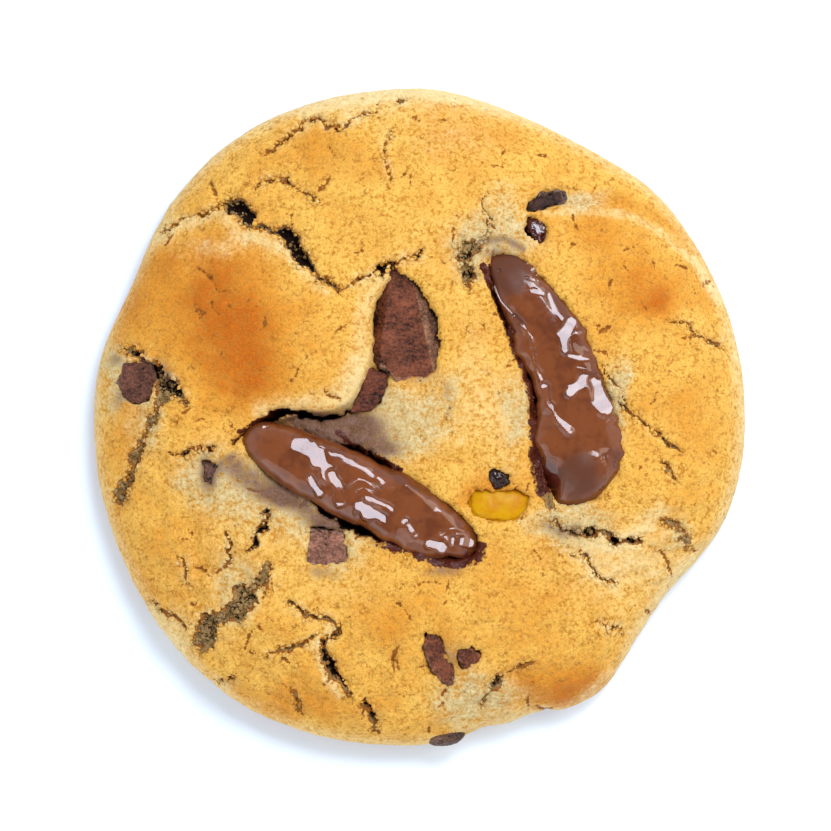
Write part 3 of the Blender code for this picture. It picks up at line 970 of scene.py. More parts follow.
@dataclass(frozen=True)
class DoughPaint:
    """Where the dough is browned, pale, stained, smudged and wet, in mounds and trails.

    Browned, pale and stained mounds get uneven outlines from a wander, and all the others from
    a share of it. Some pale marks are partly painted light on raised edges and at the lower
    left, and some smudges beside the left stick are partly painted shadow.
    """
    wander: tuple[Crags, Crags] = (Crags(5.0, 1.6, 101, 3), Crags(5.0, 1.6, 111, 3))
    near_share: float = 0.25
    base_bake: float = 0.55
    # Cream at the lips of splits: partly paler crumb, partly painted light on the raised edges.
    lip_cream: float = 0.36
    rim_cream: float = 0.60
    browned: tuple[Mound, ...] = mounds(
        (-27.7, 10.8, 9.5, 9, 0.95), (-16.4, 40, 6, 3, 0.4), (-31.5, 20.5, 8, 7, 0.68),
        (-25, 3.6, 5, 4, 0.50), (6.8, 41.6, 8, 4, 0.25), (25.6, 27.3, 6, 3.5, 0.5),
        (33, 19, 7.5, 4.5, 0.7), (34.6, 16.8, 2.5, 1.5, 0.5), (21, -41, 9, 4, 0.95),
        (-19.4, -43.4, 9, 3.4, 0.45), (-42, -27, 5, 9, 0.25), (-33, -18.5, 7, 5, 0.12),
        (-21, -32, 7, 4, 0.08), (-3, -30.5, 7, 5, 0.3), (16.6, -27.5, 8, 7, 0.18),
        (40.5, -0.5, 5, 8, 0.3), (11.5, -11.2, 5.5, 2.2, 0.7), (-43.5, 17.5, 5, 9, 0.45),
        (-44, -6, 4, 6, 0.3),
    )
    brown_trails: tuple[Trail, ...] = (Trail(RIGHT_STEP, 1.2, 1.2, 0.30),)
    # Pale bands along the steps and splits: paler dough, and on their raised edges partly painted light.
    pale_trails: tuple[Trail, ...] = (
        Trail(RIGHT_STEP, 0.8, -0.7, 0.55),
        Trail(LEFT_STEP, 2.1, -1.2, 0.55),
        Trail(Course(((-41, 27), (-34, 30), (-29.2, 31), (-25.4, 27.6), (-19.7, 26.2), (-16.4, 21.6),
                      (-11.8, 18.4)), 2.0), 1.0, 0.9, 0.42),
        Trail(Course(((-44, 9), (-40.2, 7), (-37, 3.9), (-34.6, 1.9)), 2.0), 1.0, -1.0, 0.3),
        Trail(Course(((36.1, -12), (31, -17), (25, -17.2), (20, -15.8)), 2.0), 1.2, -1.2, 0.5),
        Trail(Course(((-11.6, -31.5), (-14.5, -34.2), (-13, -38.5), (-10.7, -41.9)), 2.0), 0.9, 1.0, 0.4),
        Trail(Course(((9, -43.5), (14, -45), (22, -43.5), (28, -38)), 2.0), 1.2, 0.0, 0.3),
    )
    smear_and_shadow_trails: tuple[Trail, ...] = (
        # Beside the left stick's lower side: cocoa smears and painted shadow.
        Trail(Course(((-29.0, -5.0), (-25.0, -8.6), (-19.4, -11.4), (-15.0, -13.8), (-10.0, -16.6))),
              2.1, 0.8, 0.85),
        Trail(Course(((8.6, 26.4), (12.6, 26.6), (15.6, 24.6))), 0.7, -0.2, 0.65),
        Trail(Course(((18.4, -15.4), (21.0, -17.2), (24.6, -16.4))), 1.2, 0.0, 0.60),
        Trail(Course(((-25.6, -19.6), (-26.5, -28.3), (-31.4, -31.0), (-33.2, -35.5))), 1.0, 0.0, 0.30),
    )
    syrup: tuple[Trail, ...] = (
        Trail(Course(((-7.0, -17.7), (-2.9, -19.2), (1.6, -20.9), (4.6, -21.6), (7.4, -21.7), (9.0, -20.6),
                      (9.4, -18.2))), 1.25, 0.0, 1.0),
        Trail(Course(((9.6, 24.2), (11.0, 20.0), (14.0, 12.6), (16.8, 5.0), (17.7, -2.0), (17.9, -8.0),
                      (18.6, -10.6), (19.8, -12.6))), 1.2, 0.0, 1.1),
        Trail(Course(((-13.0, -1.8), (-10.0, -4.2), (-6.0, -6.4), (-2.0, -8.8))), 0.7, 0.0, 0.8),
        Trail(Course(((-27.5, -3.0), (-25.0, -1.4), (-20.6, 0.6))), 0.6, 0.0, 0.8),
    )
    paled: tuple[Mound, ...] = mounds(
        (28, -22.5, 9, 8, 0.5), (4.5, 48.3, 25, 2.5, 0.5), (-36, -33.5, 4, 4, 0.4),
        # (-27, -25) lifts the lower left, which the lamps light less: painted light.
        (-12, -24, 8, 5, 0.25), (-27, -25, 10, 9, 0.25), (5, 41, 9, 5, 0.35), (-10, 45.5, 8, 3, 0.3),
        (47.3, 0, 2.5, 20, 0.15), (-9.7, 3.3, 3, 6, 0.45), (1.6, 26.5, 8, 6, 0.25),
        (8.3, 10, 4, 9, 0.3), (11.5, -1.5, 7, 8, 0.45), (-28, 25.5, 9, 2.6, 0.5), (36, -22, 7, 7, 0.35),
    )
    stained: tuple[Mound, ...] = mounds(
        (-5.0, -1.5, 9, 5.0, 1.2), (-21.0, -11.5, 9, 5.0, 1.1), (11.3, 28, 6, 5, 0.9),
        (14.5, 0.3, 3.0, 7, 1.0), (22.6, -16.2, 6, 3.0, 1.0), (-46.0, 4.8, 2.4, 5, 1.2),
        (8.3, -42.0, 7, 4.5, 1.0), (-13, -18, 6, 5, 0.8), (-32, -9, 4, 5, 0.8), (23, 33, 4.5, 1.6, 1.0),
        (4.4, 4.5, 3, 4, 0.6), (-40.5, -1, 2.5, 6, 0.6), (38.5, -17, 2.5, 3, 0.8),
        (-27.5, -26.5, 3.5, 6.5, 0.7), (8.0, 23.5, 2.6, 4, 0.9), (29.4, 3.6, 2.2, 5, 1.1),
    )
    smears_and_shadows: tuple[Mound, ...] = mounds(
        (-9.8, -1.8, 4.6, 3.0, 1.5), (-5.4, -4.6, 3.4, 1.6, 0.8), (-14.0, -2.6, 3.0, 1.4, 0.9),
        # (-20.6, -12.2) beside the left stick is partly painted shadow.
        (-17.0, -0.7, 4.2, 1.3, 1.3), (-20.6, -12.2, 3.2, 1.3, 0.8), (-31.3, -8.8, 1.5, 3.0, 1.0),
        (-0.2, 6.4, 2.6, 1.6, 0.7), (-13.7, -16.4, 3, 1.2, 0.6), (-45.6, 8.4, 1.2, 1.2, 0.7),
        (-38.2, 6.2, 1.6, 2.4, 0.7), (-5.0, -18.6, 3.5, 1.2, 0.5), (4.0, -23.0, 4, 1.0, 0.7),
        (3.8, 3.8, 1.0, 2.4, 0.5), (11.5, 24.6, 3, 1.6, 0.6), (-44.4, -12.5, 1.2, 1.6, 0.5),
        (4.8, -36.2, 3.4, 3.2, 0.6), (-14.6, -23.2, 3.4, 1.5, 0.6), (-45.2, 2.6, 1.6, 2.4, 0.6),
    )

    def fields(self, skin: Skin) -> dict[str, Array]:
        """The values at each point of the skin that its finish reads, by name.

        Args:
            skin: the skin with its splits.

        Returns:
            The values by attribute name.
        """
        shift_x, shift_y = (crags.at(skin.x, skin.y) for crags in self.wander)
        x, y = skin.x + shift_x, skin.y + shift_y
        near_x, near_y = skin.x + self.near_share * shift_x, skin.y + self.near_share * shift_y
        bake = together(self.browned, x, y) + together(self.brown_trails, near_x, near_y)
        cream = together(self.paled, x, y) + together(self.pale_trails, near_x, near_y)
        wall = eased((0.55 - skin.normal_up) / 0.5)
        rim = eased((skin.share - 0.94) / 0.06) * (1.0 - 0.6 * np.clip(bake, 0.0, 1.0))
        base = eased((3.2 - skin.height) / 3.0)
        return {
            "bake": bake * (1 - 0.5 * wall) + self.base_bake * base,
            # Cream at the lips is partly painted light.
            "cream": cream + self.lip_cream * skin.lip + self.rim_cream * rim * (1 - base),
            "cocoa": together(self.stained, x, y),
            "smear_and_shadow": together(self.smears_and_shadows + self.smear_and_shadow_trails, near_x, near_y),
            "syrup": together(self.syrup, near_x, near_y),
            "gap": skin.gap,
            "painted_shade": skin.painted_shade,
        }


@dataclass
class Dough:
    """The baked dough, from its rim and dome to its splits, pockets and finish."""
    radius: float = 48.9
    crown_height: float = 17.4
    widest_height: float = 3.4
    crown_power: float = 3.3
    wall_power: float = 2.1
    base_share: float = 0.95
    cells: int = 296
    edge_fade: float = 0.12
    fine_share: float = 0.84
    base_inset: float = 0.02
    underside_bake: float = 0.85
    draw: float = 0.5
    steep_share: float = 0.985
    far_gap: float = 3.0
    first_seed: int = 500
    carving: Carving = Carving()
    slits: StraySlits = StraySlits()
    paint: DoughPaint = DoughPaint()
    wander_seeds: tuple[int, int] = (41, 51)
    slit_wander: float = 0.3
    shallowest_uneven: float = 0.45
    craggy_rise: float = 1.2
    coarse: Crags = Crags(2.6, 0.30, 61, 3)
    fine: Crags = Crags(1.1, 0.13, 71, 2)
    inside: Crags = Crags(0.9, 0.30, 91, 2)
    underside: Crags = Crags(4.0, 0.25, 121, 3)
    stray_crumbs: float = 0.006
    swells: tuple[RimSwell, ...] = (
        RimSwell(45, 9, 0.5), RimSwell(62, 18, -1.4), RimSwell(88, 8, 0.5),
        RimSwell(112, 18, 1.1), RimSwell(128, 12, 0.6), RimSwell(156, 10, -1.4),
        RimSwell(236, 26, 1.7), RimSwell(276, 4, 0.7), RimSwell(281, 7, -1.6),
        RimSwell(291, 4, -1.2), RimSwell(303, 6, 0.7), RimSwell(323, 14, -3.4),
    )
    lobes: tuple[Mound, ...] = mounds(
        (-22, 14.5, 15, 11, 1.9), (34, 17, 11, 13, 1.1), (3, 38, 17, 8, 1.2), (8, -4, 9, 9, 1.3),
        (-34, -22, 10, 9, 0.9), (-20, -34, 11, 7, 0.9), (-3, -31, 8, 8, 0.7), (22, -33, 13, 10, 1.0),
        (38, -5, 8, 10, 0.7), (-34, -4, 7, 6, 0.6),
    )
    shoulders: tuple[Shoulder, ...] = (
        Shoulder(LEFT_STEP, 2.6, 1.6, 8.0),
        Shoulder(RIGHT_STEP, 1.6, 1.0, 5.5),
    )
    lumps: tuple[Lumps, ...] = (Lumps(9.0, 0.50, 11), Lumps(3.6, 0.30, 12))
    splits: tuple[Split, ...] = (
        split(((-39, 27.8), (-36, 29.2), (-32.5, 30.4), (-29, 32)), 0.7, 1.4, Opening.HAIR),
        split(((-29.2, 32.4), (-26.8, 31), (-25.2, 28.6)), 2.76, 3.1),
        split(((-25.4, 28.4), (-22, 28.2), (-19.7, 27.2), (-18.2, 24.8), (-16.4, 22.3), (-14.2, 20.2),
               (-11.8, 19)), 1.92, 2.6),
        split(((-12, 19), (-9.5, 20.2), (-6.8, 21.6)), 0.6, 1.5),
        split(((-7, 21.5), (-4.4, 22.4), (-2.2, 23.5), (-0.2, 23.8), (-0.1, 25.1)), 1.2, 2.6),
        split(((-24.8, 34), (-22, 36), (-19.4, 34.9), (-16.3, 32.9), (-14.2, 31.6)), 0.72, 1.3),
        split(((-23.3, 39.4), (-20.9, 40.9), (-18.5, 42.9), (-16.6, 44.5), (-14, 44.1), (-11.3, 43.5),
               (-9.5, 44.9), (-7.4, 45.9)), 0.9, 1.8),
        split(((-4.1, 43.5), (-5, 41.2), (-5.5, 39.1), (-4.9, 36.6), (-4.3, 34.5)), 0.4, 0.7, Opening.HAIR),
        split(((-3.2, 47.4), (-2.4, 47.9)), 1.2, 1.3),
        split(((-44.4, 10.4), (-42.2, 9.4), (-40.2, 7.6), (-38.9, 5.6), (-37, 3.9), (-34.6, 1.9)), 2.64, 2.9),
        split(((-38.8, 5.0), (-38.0, 3.6), (-38.2, 2.0)), 2.88, 2.4, Opening.CRUMBLY),
        split(((-39.4, 6.0), (-37.4, 4.6), (-35.4, 2.8)), 3.36, 3.1),
        split(((-38.5, 2.7), (-39.5, 0.6), (-40.7, -1.6), (-41.9, -4.3), (-43, -6.8), (-43.9, -9.2),
               (-45, -11.2), (-44.6, -13.3)), 1.68, 2, Opening.CRUMBLY),
        split(((-37.9, -5.4), (-35.6, -5.7), (-33.8, -5), (-31.1, -4.8)), 0.9, 1.8),
        split(((-22.4, -21.9), (-23.8, -24.4), (-25.7, -26.2), (-26.5, -28.3), (-29, -29.4), (-31.4, -30.8),
               (-32.2, -33.1), (-33, -35.5)), 3.48, 2.6, Opening.CRUMBLY),
        split(((-40.4, -27.4), (-38.5, -28.8), (-36.8, -29.8), (-35, -31.2)), 0.78, 1.3),
        split(((-27.5, -38.2), (-28.9, -39.8), (-30.8, -39.9)), 1.2, 1.8),
        split(((-11.6, -31.5), (-13.3, -32.9), (-14.5, -34.2), (-13.9, -36.4), (-13, -38.5), (-11.5, -40),
               (-10.7, -41.9)), 2.16, 3.3),
        split(((-20.3, -27.4), (-18.4, -28.5), (-16.6, -30.1), (-14, -30.3), (-11.9, -31.5)), 0.72, 1.3),
        split(((-8.8, -42.3), (-7.9, -43.6), (-6.7, -45.3), (-6.8, -47.1)), 1.68, 2.4),
        split(((-22.6, -13.7), (-23.3, -16.1), (-24.2, -18.1), (-25.4, -19.9)), 1.3, 2.4),
        split(((-28.7, -17.2), (-28.7, -19.6), (-28.6, -22.1)), 0.7, 1.5),
        split(((37.1, 14.4), (39.7, 14.1), (41.5, 12.4), (43.9, 11.4), (46.1, 10.2)), 0.84, 1.4),
        split(((29.8, 2.2), (31.4, 0.4), (33.7, -1.1), (36.1, -2.9), (37.9, -4.3), (39.7, -5.1)), 0.72, 1.3),
        split(((27.2, 7.6), (28.6, 5), (30.2, 3.6), (31.2, 1.2), (31.6, -1)), 0.7, 1.4),
        split(((36.1, -6.6), (37.7, -8.2), (38.5, -10)), 0.6, 1),
        split(((20, -15.8), (22.6, -17.1), (25.6, -17.6), (27.7, -17.1), (29.2, -18.9), (31.3, -18.6),
               (33.5, -18.4)), 1.44, 2.4),
        split(((22.3, -20.2), (24.7, -21.1), (25.9, -22.2), (26.2, -23.7), (28.1, -24.8), (30.2, -25.2)),
              0.72, 1.3),
        split(((36.7, -15.3), (38.9, -16.9), (40.1, -19.3)), 2.04, 1.1, Opening.CRUMBLY),
        split(((26.5, -30.3), (28, -31.5), (29.8, -31.6), (30.4, -32.9)), 0.72, 1.3),
        split(((9.1, -42.9), (10.4, -40.9), (12.2, -38.9), (14.2, -37.5), (17, -37)), 0.9, 1.4),
        split(((4.6, 1.8), (3.8, -0.5)), 0.45, 0.9, Opening.HAIR),
        split(((10.1, 33.9), (9.5, 31.6), (10.3, 29.7), (10.3, 27.9), (8.9, 25.9)), 0.45, 1.0, Opening.HAIR),
        split(((8.9, 25.9), (7, 25.1), (6.4, 22.9), (7.3, 21.4), (6.8, 19.3)), 2.16, 2.4, Opening.CRUMBLY),
        split(((-25.2, -35.3), (-22.8, -35.3), (-18.9, -34.5), (-14.7, -32.4)), 0.6, 1.1),
        split(((-19.6, -40.1), (-18.2, -42.9), (-17.9, -44.3)), 0.7, 1.3),
        split(((-36.6, -20.4), (-34.8, -22.6), (-35.2, -25)), 0.6, 1.1),
    )
    moats: tuple[Split, ...] = (
        split(((-28.4, -4), (-26.4, -3), (-24.6, -1.8), (-22.6, -0.3), (-20.6, 0.5), (-17.5, 0.2),
               (-14.2, -0.3), (-12, 0), (-10.4, 0.6)), 1.5, 5.5),
        split(((-12.6, -3.8), (-10.2, -4.9), (-8.2, -5.7), (-5.8, -6.8), (-3.2, -8)), 1.2, 4.0),
        split(((-16, -12.7), (-13, -14.5), (-9.4, -16.5), (-5.2, -18.2)), 1.6, 4.5),
        split(((9.2, 22.4), (10.2, 20), (11.6, 17), (13.2, 13.2), (15, 9.2), (16.4, 5.6)), 0.8, 2.0),
        split(((14.4, 10.4), (16, 6.6), (17.1, 2.4), (17.9, -2), (17.9, -7), (18.4, -11), (20.2, -13.8)),
              2.2, 1.5),
    )
    craggy: tuple[Mound, ...] = mounds(
        (28, -18, 14, 12, 1.0), (-2, -38, 24, 8, 1.0), (-32, -26, 10, 12, 1.0), (-30, 30, 12, 4, 1.0),
        (-20, 40, 14, 6, 0.6), (-40, -2, 5, 12, 0.8), (38, 10, 8, 6, 0.5), (8, 26, 6, 8, 0.7),
        (-18, -14, 10, 6, 0.4),
    )

    def rim_radius(self, bearing: Array) -> Array:
        """Distance of the rim at a bearing in degrees, before the rim is centred.

        Args:
            bearing: the bearing in degrees.

        Returns:
            The distance from the dough's own middle.
        """
        radius = np.full_like(np.asarray(bearing, float), self.radius)
        for swell in self.swells:
            away = (bearing - swell.bearing + 180.0) % 360.0 - 180.0
            radius += swell.offset * np.exp(-(away / swell.spread) ** 2)
        return radius

    def rim_middle(self) -> Point:
        """Middle of the box round the rim, which is the frame's origin in plan."""
        bearing = np.linspace(0.0, 360.0, 1440, endpoint=False)
        radius = self.rim_radius(bearing)
        x = radius * np.cos(np.radians(bearing))
        y = radius * np.sin(np.radians(bearing))
        return float(x.min() + x.max()) / 2, float(y.min() + y.max()) / 2

    def share_of_rim(self, x: Array, y: Array) -> Array:
        """How far out a place lies, from 0 in the middle to 1 on the rim."""
        middle_x, middle_y = self.rim_middle()
        bearing = np.degrees(np.arctan2(y + middle_y, x + middle_x))
        return np.hypot(x + middle_x, y + middle_y) / self.rim_radius(bearing)

    def dome_height(self, x: Array, y: Array) -> Array:
        """Height of the plain dome: a superellipse from the crown down to the widest line."""
        share = np.clip(self.share_of_rim(x, y), 0.0, 1.0)
        rise = (1.0 - share ** self.crown_power) ** (1.0 / self.wall_power)
        return self.widest_height + (self.crown_height - self.widest_height) * rise

    def relief(self, x: Array, y: Array, share: Array) -> Array:
        """Height of the lobes, shoulders and lumps over the plain dome, fading at the rim."""
        forms = self.lobes + self.shoulders + self.lumps
        return together(forms, x, y) * eased((1.0 - share) / self.edge_fade)

    def profile(self) -> tuple[Array, Array, Array, float]:
        """The dome's section from the crown to the edge of the base.

        Returns:
            The length run along the section, the share of the rim, the height, and the run
            at which the section is widest.
        """
        angle = np.linspace(0.0, np.pi / 2, 400)
        share = np.sin(angle) ** (2.0 / self.crown_power)
        share[-1] = 1.0
        rise = (1.0 - share ** self.crown_power) ** (1.0 / self.wall_power)
        height = self.widest_height + (self.crown_height - self.widest_height) * rise
        under = np.linspace(0.0, np.pi / 2, 60)[1:]
        share = np.concatenate((share, self.base_share + (1.0 - self.base_share) * np.cos(under)))
        height = np.concatenate((height, self.widest_height * (1.0 - np.sin(under))))
        run = np.concatenate(([0.0], np.cumsum(np.hypot(np.diff(share) * self.radius, np.diff(height)))))
        return run, share, height, float(run[len(angle) - 1])

    def disc(self, cells: int) -> tuple[Array, Array]:
        """Reach from 0 to 1 and bearing of a square grid bent over a disc, in one row.

        Args:
            cells: how many cells the grid has along a side.

        Returns:
            The reach and the bearing of each point.
        """
        steps = np.linspace(-1.0, 1.0, cells + 1)
        u, v = np.meshgrid(steps, steps)
        x = u * np.sqrt(1.0 - v ** 2 / 2.0)
        y = v * np.sqrt(1.0 - u ** 2 / 2.0)
        return np.clip(np.hypot(x, y), 0.0, 1.0).ravel(), np.arctan2(y, x).ravel()

    def lay_skin(self) -> Skin:
        """The plain skin from the crown to the edge of the base, finer on top than on the wall.

        Returns:
            The skin, with nothing cut or raised yet.
        """
        run, share, height, widest_run = self.profile()
        reach, bearing = self.disc(self.cells)
        length = run[-1] * reach * (self.fine_share + (1 - self.fine_share) * reach ** 6)
        skin_share = np.interp(length, run, share)
        radius = skin_share * self.rim_radius(np.degrees(bearing))
        middle_x, middle_y = self.rim_middle()
        x = radius * np.cos(bearing) - middle_x
        y = radius * np.sin(bearing) - middle_y
        x, y, skin_share, length = self.gather(x, y, skin_share, length, run, share)
        bearing = np.arctan2(y + middle_y, x + middle_x)
        z = np.interp(length, run, height)
        slope_out = np.gradient(share * self.radius, run)
        slope_up = np.gradient(height, run)
        on_top = length < widest_run
        z = np.where(on_top, z + self.relief(x, y, skin_share), z)
        return Skin(
            x, y, skin_share, z,
            -np.interp(length, run, slope_up), np.interp(length, run, slope_out), bearing,
            length * np.cos(bearing), length * np.sin(bearing),
            np.zeros(len(x)), np.full(len(x), self.far_gap), *np.zeros((4, len(x))),
        )

    def gather(self, x: Array, y: Array, skin_share: Array, length: Array,
               run: Array, share: Array) -> tuple[Array, Array, Array, Array]:
        """Draws the skin's points towards the splits, so that their sides get more faces.

        Args:
            x: places along X.
            y: places along Y.
            skin_share: share of the rim at each place.
            length: run along the dome's section at each place.
            run: run along the section.
            share: share of the rim along the section.

        Returns:
            The places, shares and runs after the draw.
        """
        pull_x, pull_y = np.zeros(len(x)), np.zeros(len(x))
        steep = eased((self.steep_share - skin_share) / 0.06)
        for cut in self.splits + self.moats:
            reach = 0.9 + 0.5 * cut.width
            place = cut.course.within(x, y, 3.0 * reach)
            away_x, away_y, _, _ = cut.course.near(x[place], y[place])
            fade = self.draw * np.exp(-(away_x ** 2 + away_y ** 2) / reach ** 2)
            distance = np.maximum(np.hypot(away_x, away_y), 1e-6)
            stronger = fade > np.hypot(pull_x[place], pull_y[place]) / distance
            pull_x[place] = np.where(stronger, away_x * fade, pull_x[place])
            pull_y[place] = np.where(stronger, away_y * fade, pull_y[place])
        drawn_x, drawn_y = x - pull_x * steep, y - pull_y * steep
        drawn_share = self.share_of_rim(drawn_x, drawn_y)
        peak = int(share.argmax())
        drawn_length = np.interp(drawn_share, share[:peak + 1], run[:peak + 1])
        moved = (steep > 0) & (length < run[peak])
        return (np.where(moved, drawn_x, x), np.where(moved, drawn_y, y),
                np.where(moved, drawn_share, skin_share), np.where(moved, drawn_length, length))

    def open_pockets(self, skin: Skin, seats: list["Seat"], wander: tuple[Array, Array]) -> None:
        """Sinks the skin below each piece, with a rounded lip round its outline.

        Args:
            skin: the skin, whose push field and field of painted shade change.
            seats: where the pieces lie.
            wander: how far each place is shifted before its distance is taken.
        """
        for seat in seats:
            away = np.hypot(skin.x - seat.middle[0], skin.y - seat.middle[1])
            place = np.flatnonzero(away < seat.reach + 4.0)
            place = place[skin.normal_up[place] > seat.facing]
            x = skin.x[place] + seat.ragged * wander[0][place]
            y = skin.y[place] + seat.ragged * wander[1][place]
            inside = -seat.outline(x, y) - seat.tuck - together(seat.cover, x, y)
            sink = seat.depth * eased(inside / seat.wall)
            outside = np.clip(-inside, 0.0, None)
            rounding = seat.round_over * np.exp(-(outside / seat.round_reach) ** 2)
            skin.push[place] = np.minimum(skin.push[place], -rounding - sink)
            # Painted shade in the pocket, darker the deeper it sinks.
            skin.painted_shade[place] = np.maximum(skin.painted_shade[place], np.clip(sink / seat.painted_shade_depth, 0.0, 1.0))

    def roughen(self, skin: Skin) -> tuple[Array, Array]:
        """Crags and pits on the skin, weaker on the wall, and finer ones inside the splits.

        Args:
            skin: the skin with its splits.

        Returns:
            The height of the roughness at each point, and how craggy the dough is there.
        """
        craggy = together(self.craggy, skin.x, skin.y).clip(0.0, 1.1)
        uneven = self.shallowest_uneven + self.craggy_rise * craggy
        unrolled = (skin.unrolled_x, skin.unrolled_y)
        wall = eased((0.75 - skin.normal_up) / 0.5)
        inside_split = np.clip(-skin.gap / 0.4, 0.0, 1.0)
        rough = (self.coarse.at(*unrolled) + self.fine.at(*unrolled)) * uneven * (1 - 0.7 * wall)
        rough += inside_split * self.inside.at(*unrolled)
        return rough * eased(skin.height / 2.0), uneven

    def build(self, seats: list["Seat"], finish: DoughFinish) -> list[bpy.types.Object]:
        """Makes the whole skin and its crumbs.

        Args:
            seats: where the pieces lie.
            finish: the dough's finish.

        Returns:
            The skin and the crumbs.
        """
        skin = self.lay_skin()
        wander = tuple(Crags(1.7, 0.42, seed, 3, 0.65).at(skin.x, skin.y)
                       + Crags(0.85, 0.20, seed + 5, 2).at(skin.x, skin.y) for seed in self.wander_seeds)
        small_wander = (self.slit_wander * wander[0], self.slit_wander * wander[1])
        for number, cut in enumerate(self.splits + self.moats):
            self.carving.carve(skin, cut, wander, self.first_seed + number, number < len(self.splits))
        for slit, seed in self.slits.splits(self.radius):
            self.carving.carve(skin, slit, small_wander, seed, False)
        self.open_pockets(skin, seats, wander)
        rough, uneven = self.roughen(skin)
        push = skin.push + skin.raised + rough
        x = skin.x + push * skin.normal_out * np.cos(skin.bearing)
        y = skin.y + push * skin.normal_out * np.sin(skin.bearing)
        z = np.maximum(skin.height + push * skin.normal_up, 0.0)
        fields = self.paint.fields(skin)
        points = np.column_stack((x, y, z))
        material = finish.material()
        strays = self.stray_crumbs * uneven * (skin.share < 0.93)
        weight = (skin.crumbs + strays) * (skin.normal_up > 0.15)
        crumbs = Crumbs().build(points, weight, fields, material)
        return [self.close(points, fields, material), crumbs]

    def close(self, points: Array, fields: dict[str, Array],
              finish: bpy.types.Material) -> bpy.types.Object:
        """Closes the skin with a flat base: two rings that halve the count, then a coarse grid.

        Args:
            points: the skin's points.
            fields: the values at them.
            finish: the dough's material.

        Returns:
            The closed skin.
        """
        rim = border(self.cells)
        low_cells = self.cells // 4
        reach, bearing = self.disc(low_cells)
        inner = self.base_share - self.base_inset
        middle_x, middle_y = self.rim_middle()
        radius = reach * inner * self.rim_radius(np.degrees(bearing))
        low_x = radius * np.cos(bearing) - middle_x
        low_y = radius * np.sin(bearing) - middle_y
        dimples = np.clip(self.underside.at(low_x, low_y), 0.0, None)
        low_points = np.column_stack((low_x, low_y, dimples * eased((1 - reach) / 0.05)))
        low_rim = border(low_cells)
        half_rim = rim[::2]
        ring = 0.5 * (points[half_rim] + low_points[np.repeat(low_rim, 2)])
        ring[1::2] = 0.5 * (points[half_rim[1::2]] + 0.5 * (low_points[low_rim]
                                                            + low_points[np.roll(low_rim, -1)]))
        ring[:, 2] = 0.0
        ring_first = len(points)
        low_first = ring_first + len(ring)
        ring_rim = ring_first + np.arange(len(ring))
        triangles = [halving(rim, ring_rim), halving(ring_rim, low_first + low_rim)]
        quads = grid_faces(self.cells)
        low_quads = grid_faces(low_cells, low_first)[:, [0, 3, 2, 1]]
        whole = np.concatenate((points, ring, low_points))
        extra = len(ring) + len(low_points)
        plain = {"bake": self.underside_bake, "gap": self.far_gap}
        fields = {name: np.append(values, np.full(extra, plain.get(name, 0.0)))
                  for name, values in fields.items()}
        faces = [np.concatenate((quads, low_quads)), np.concatenate(triangles)]
        return make_piece("dough_skin", whole, faces, finish, fields)


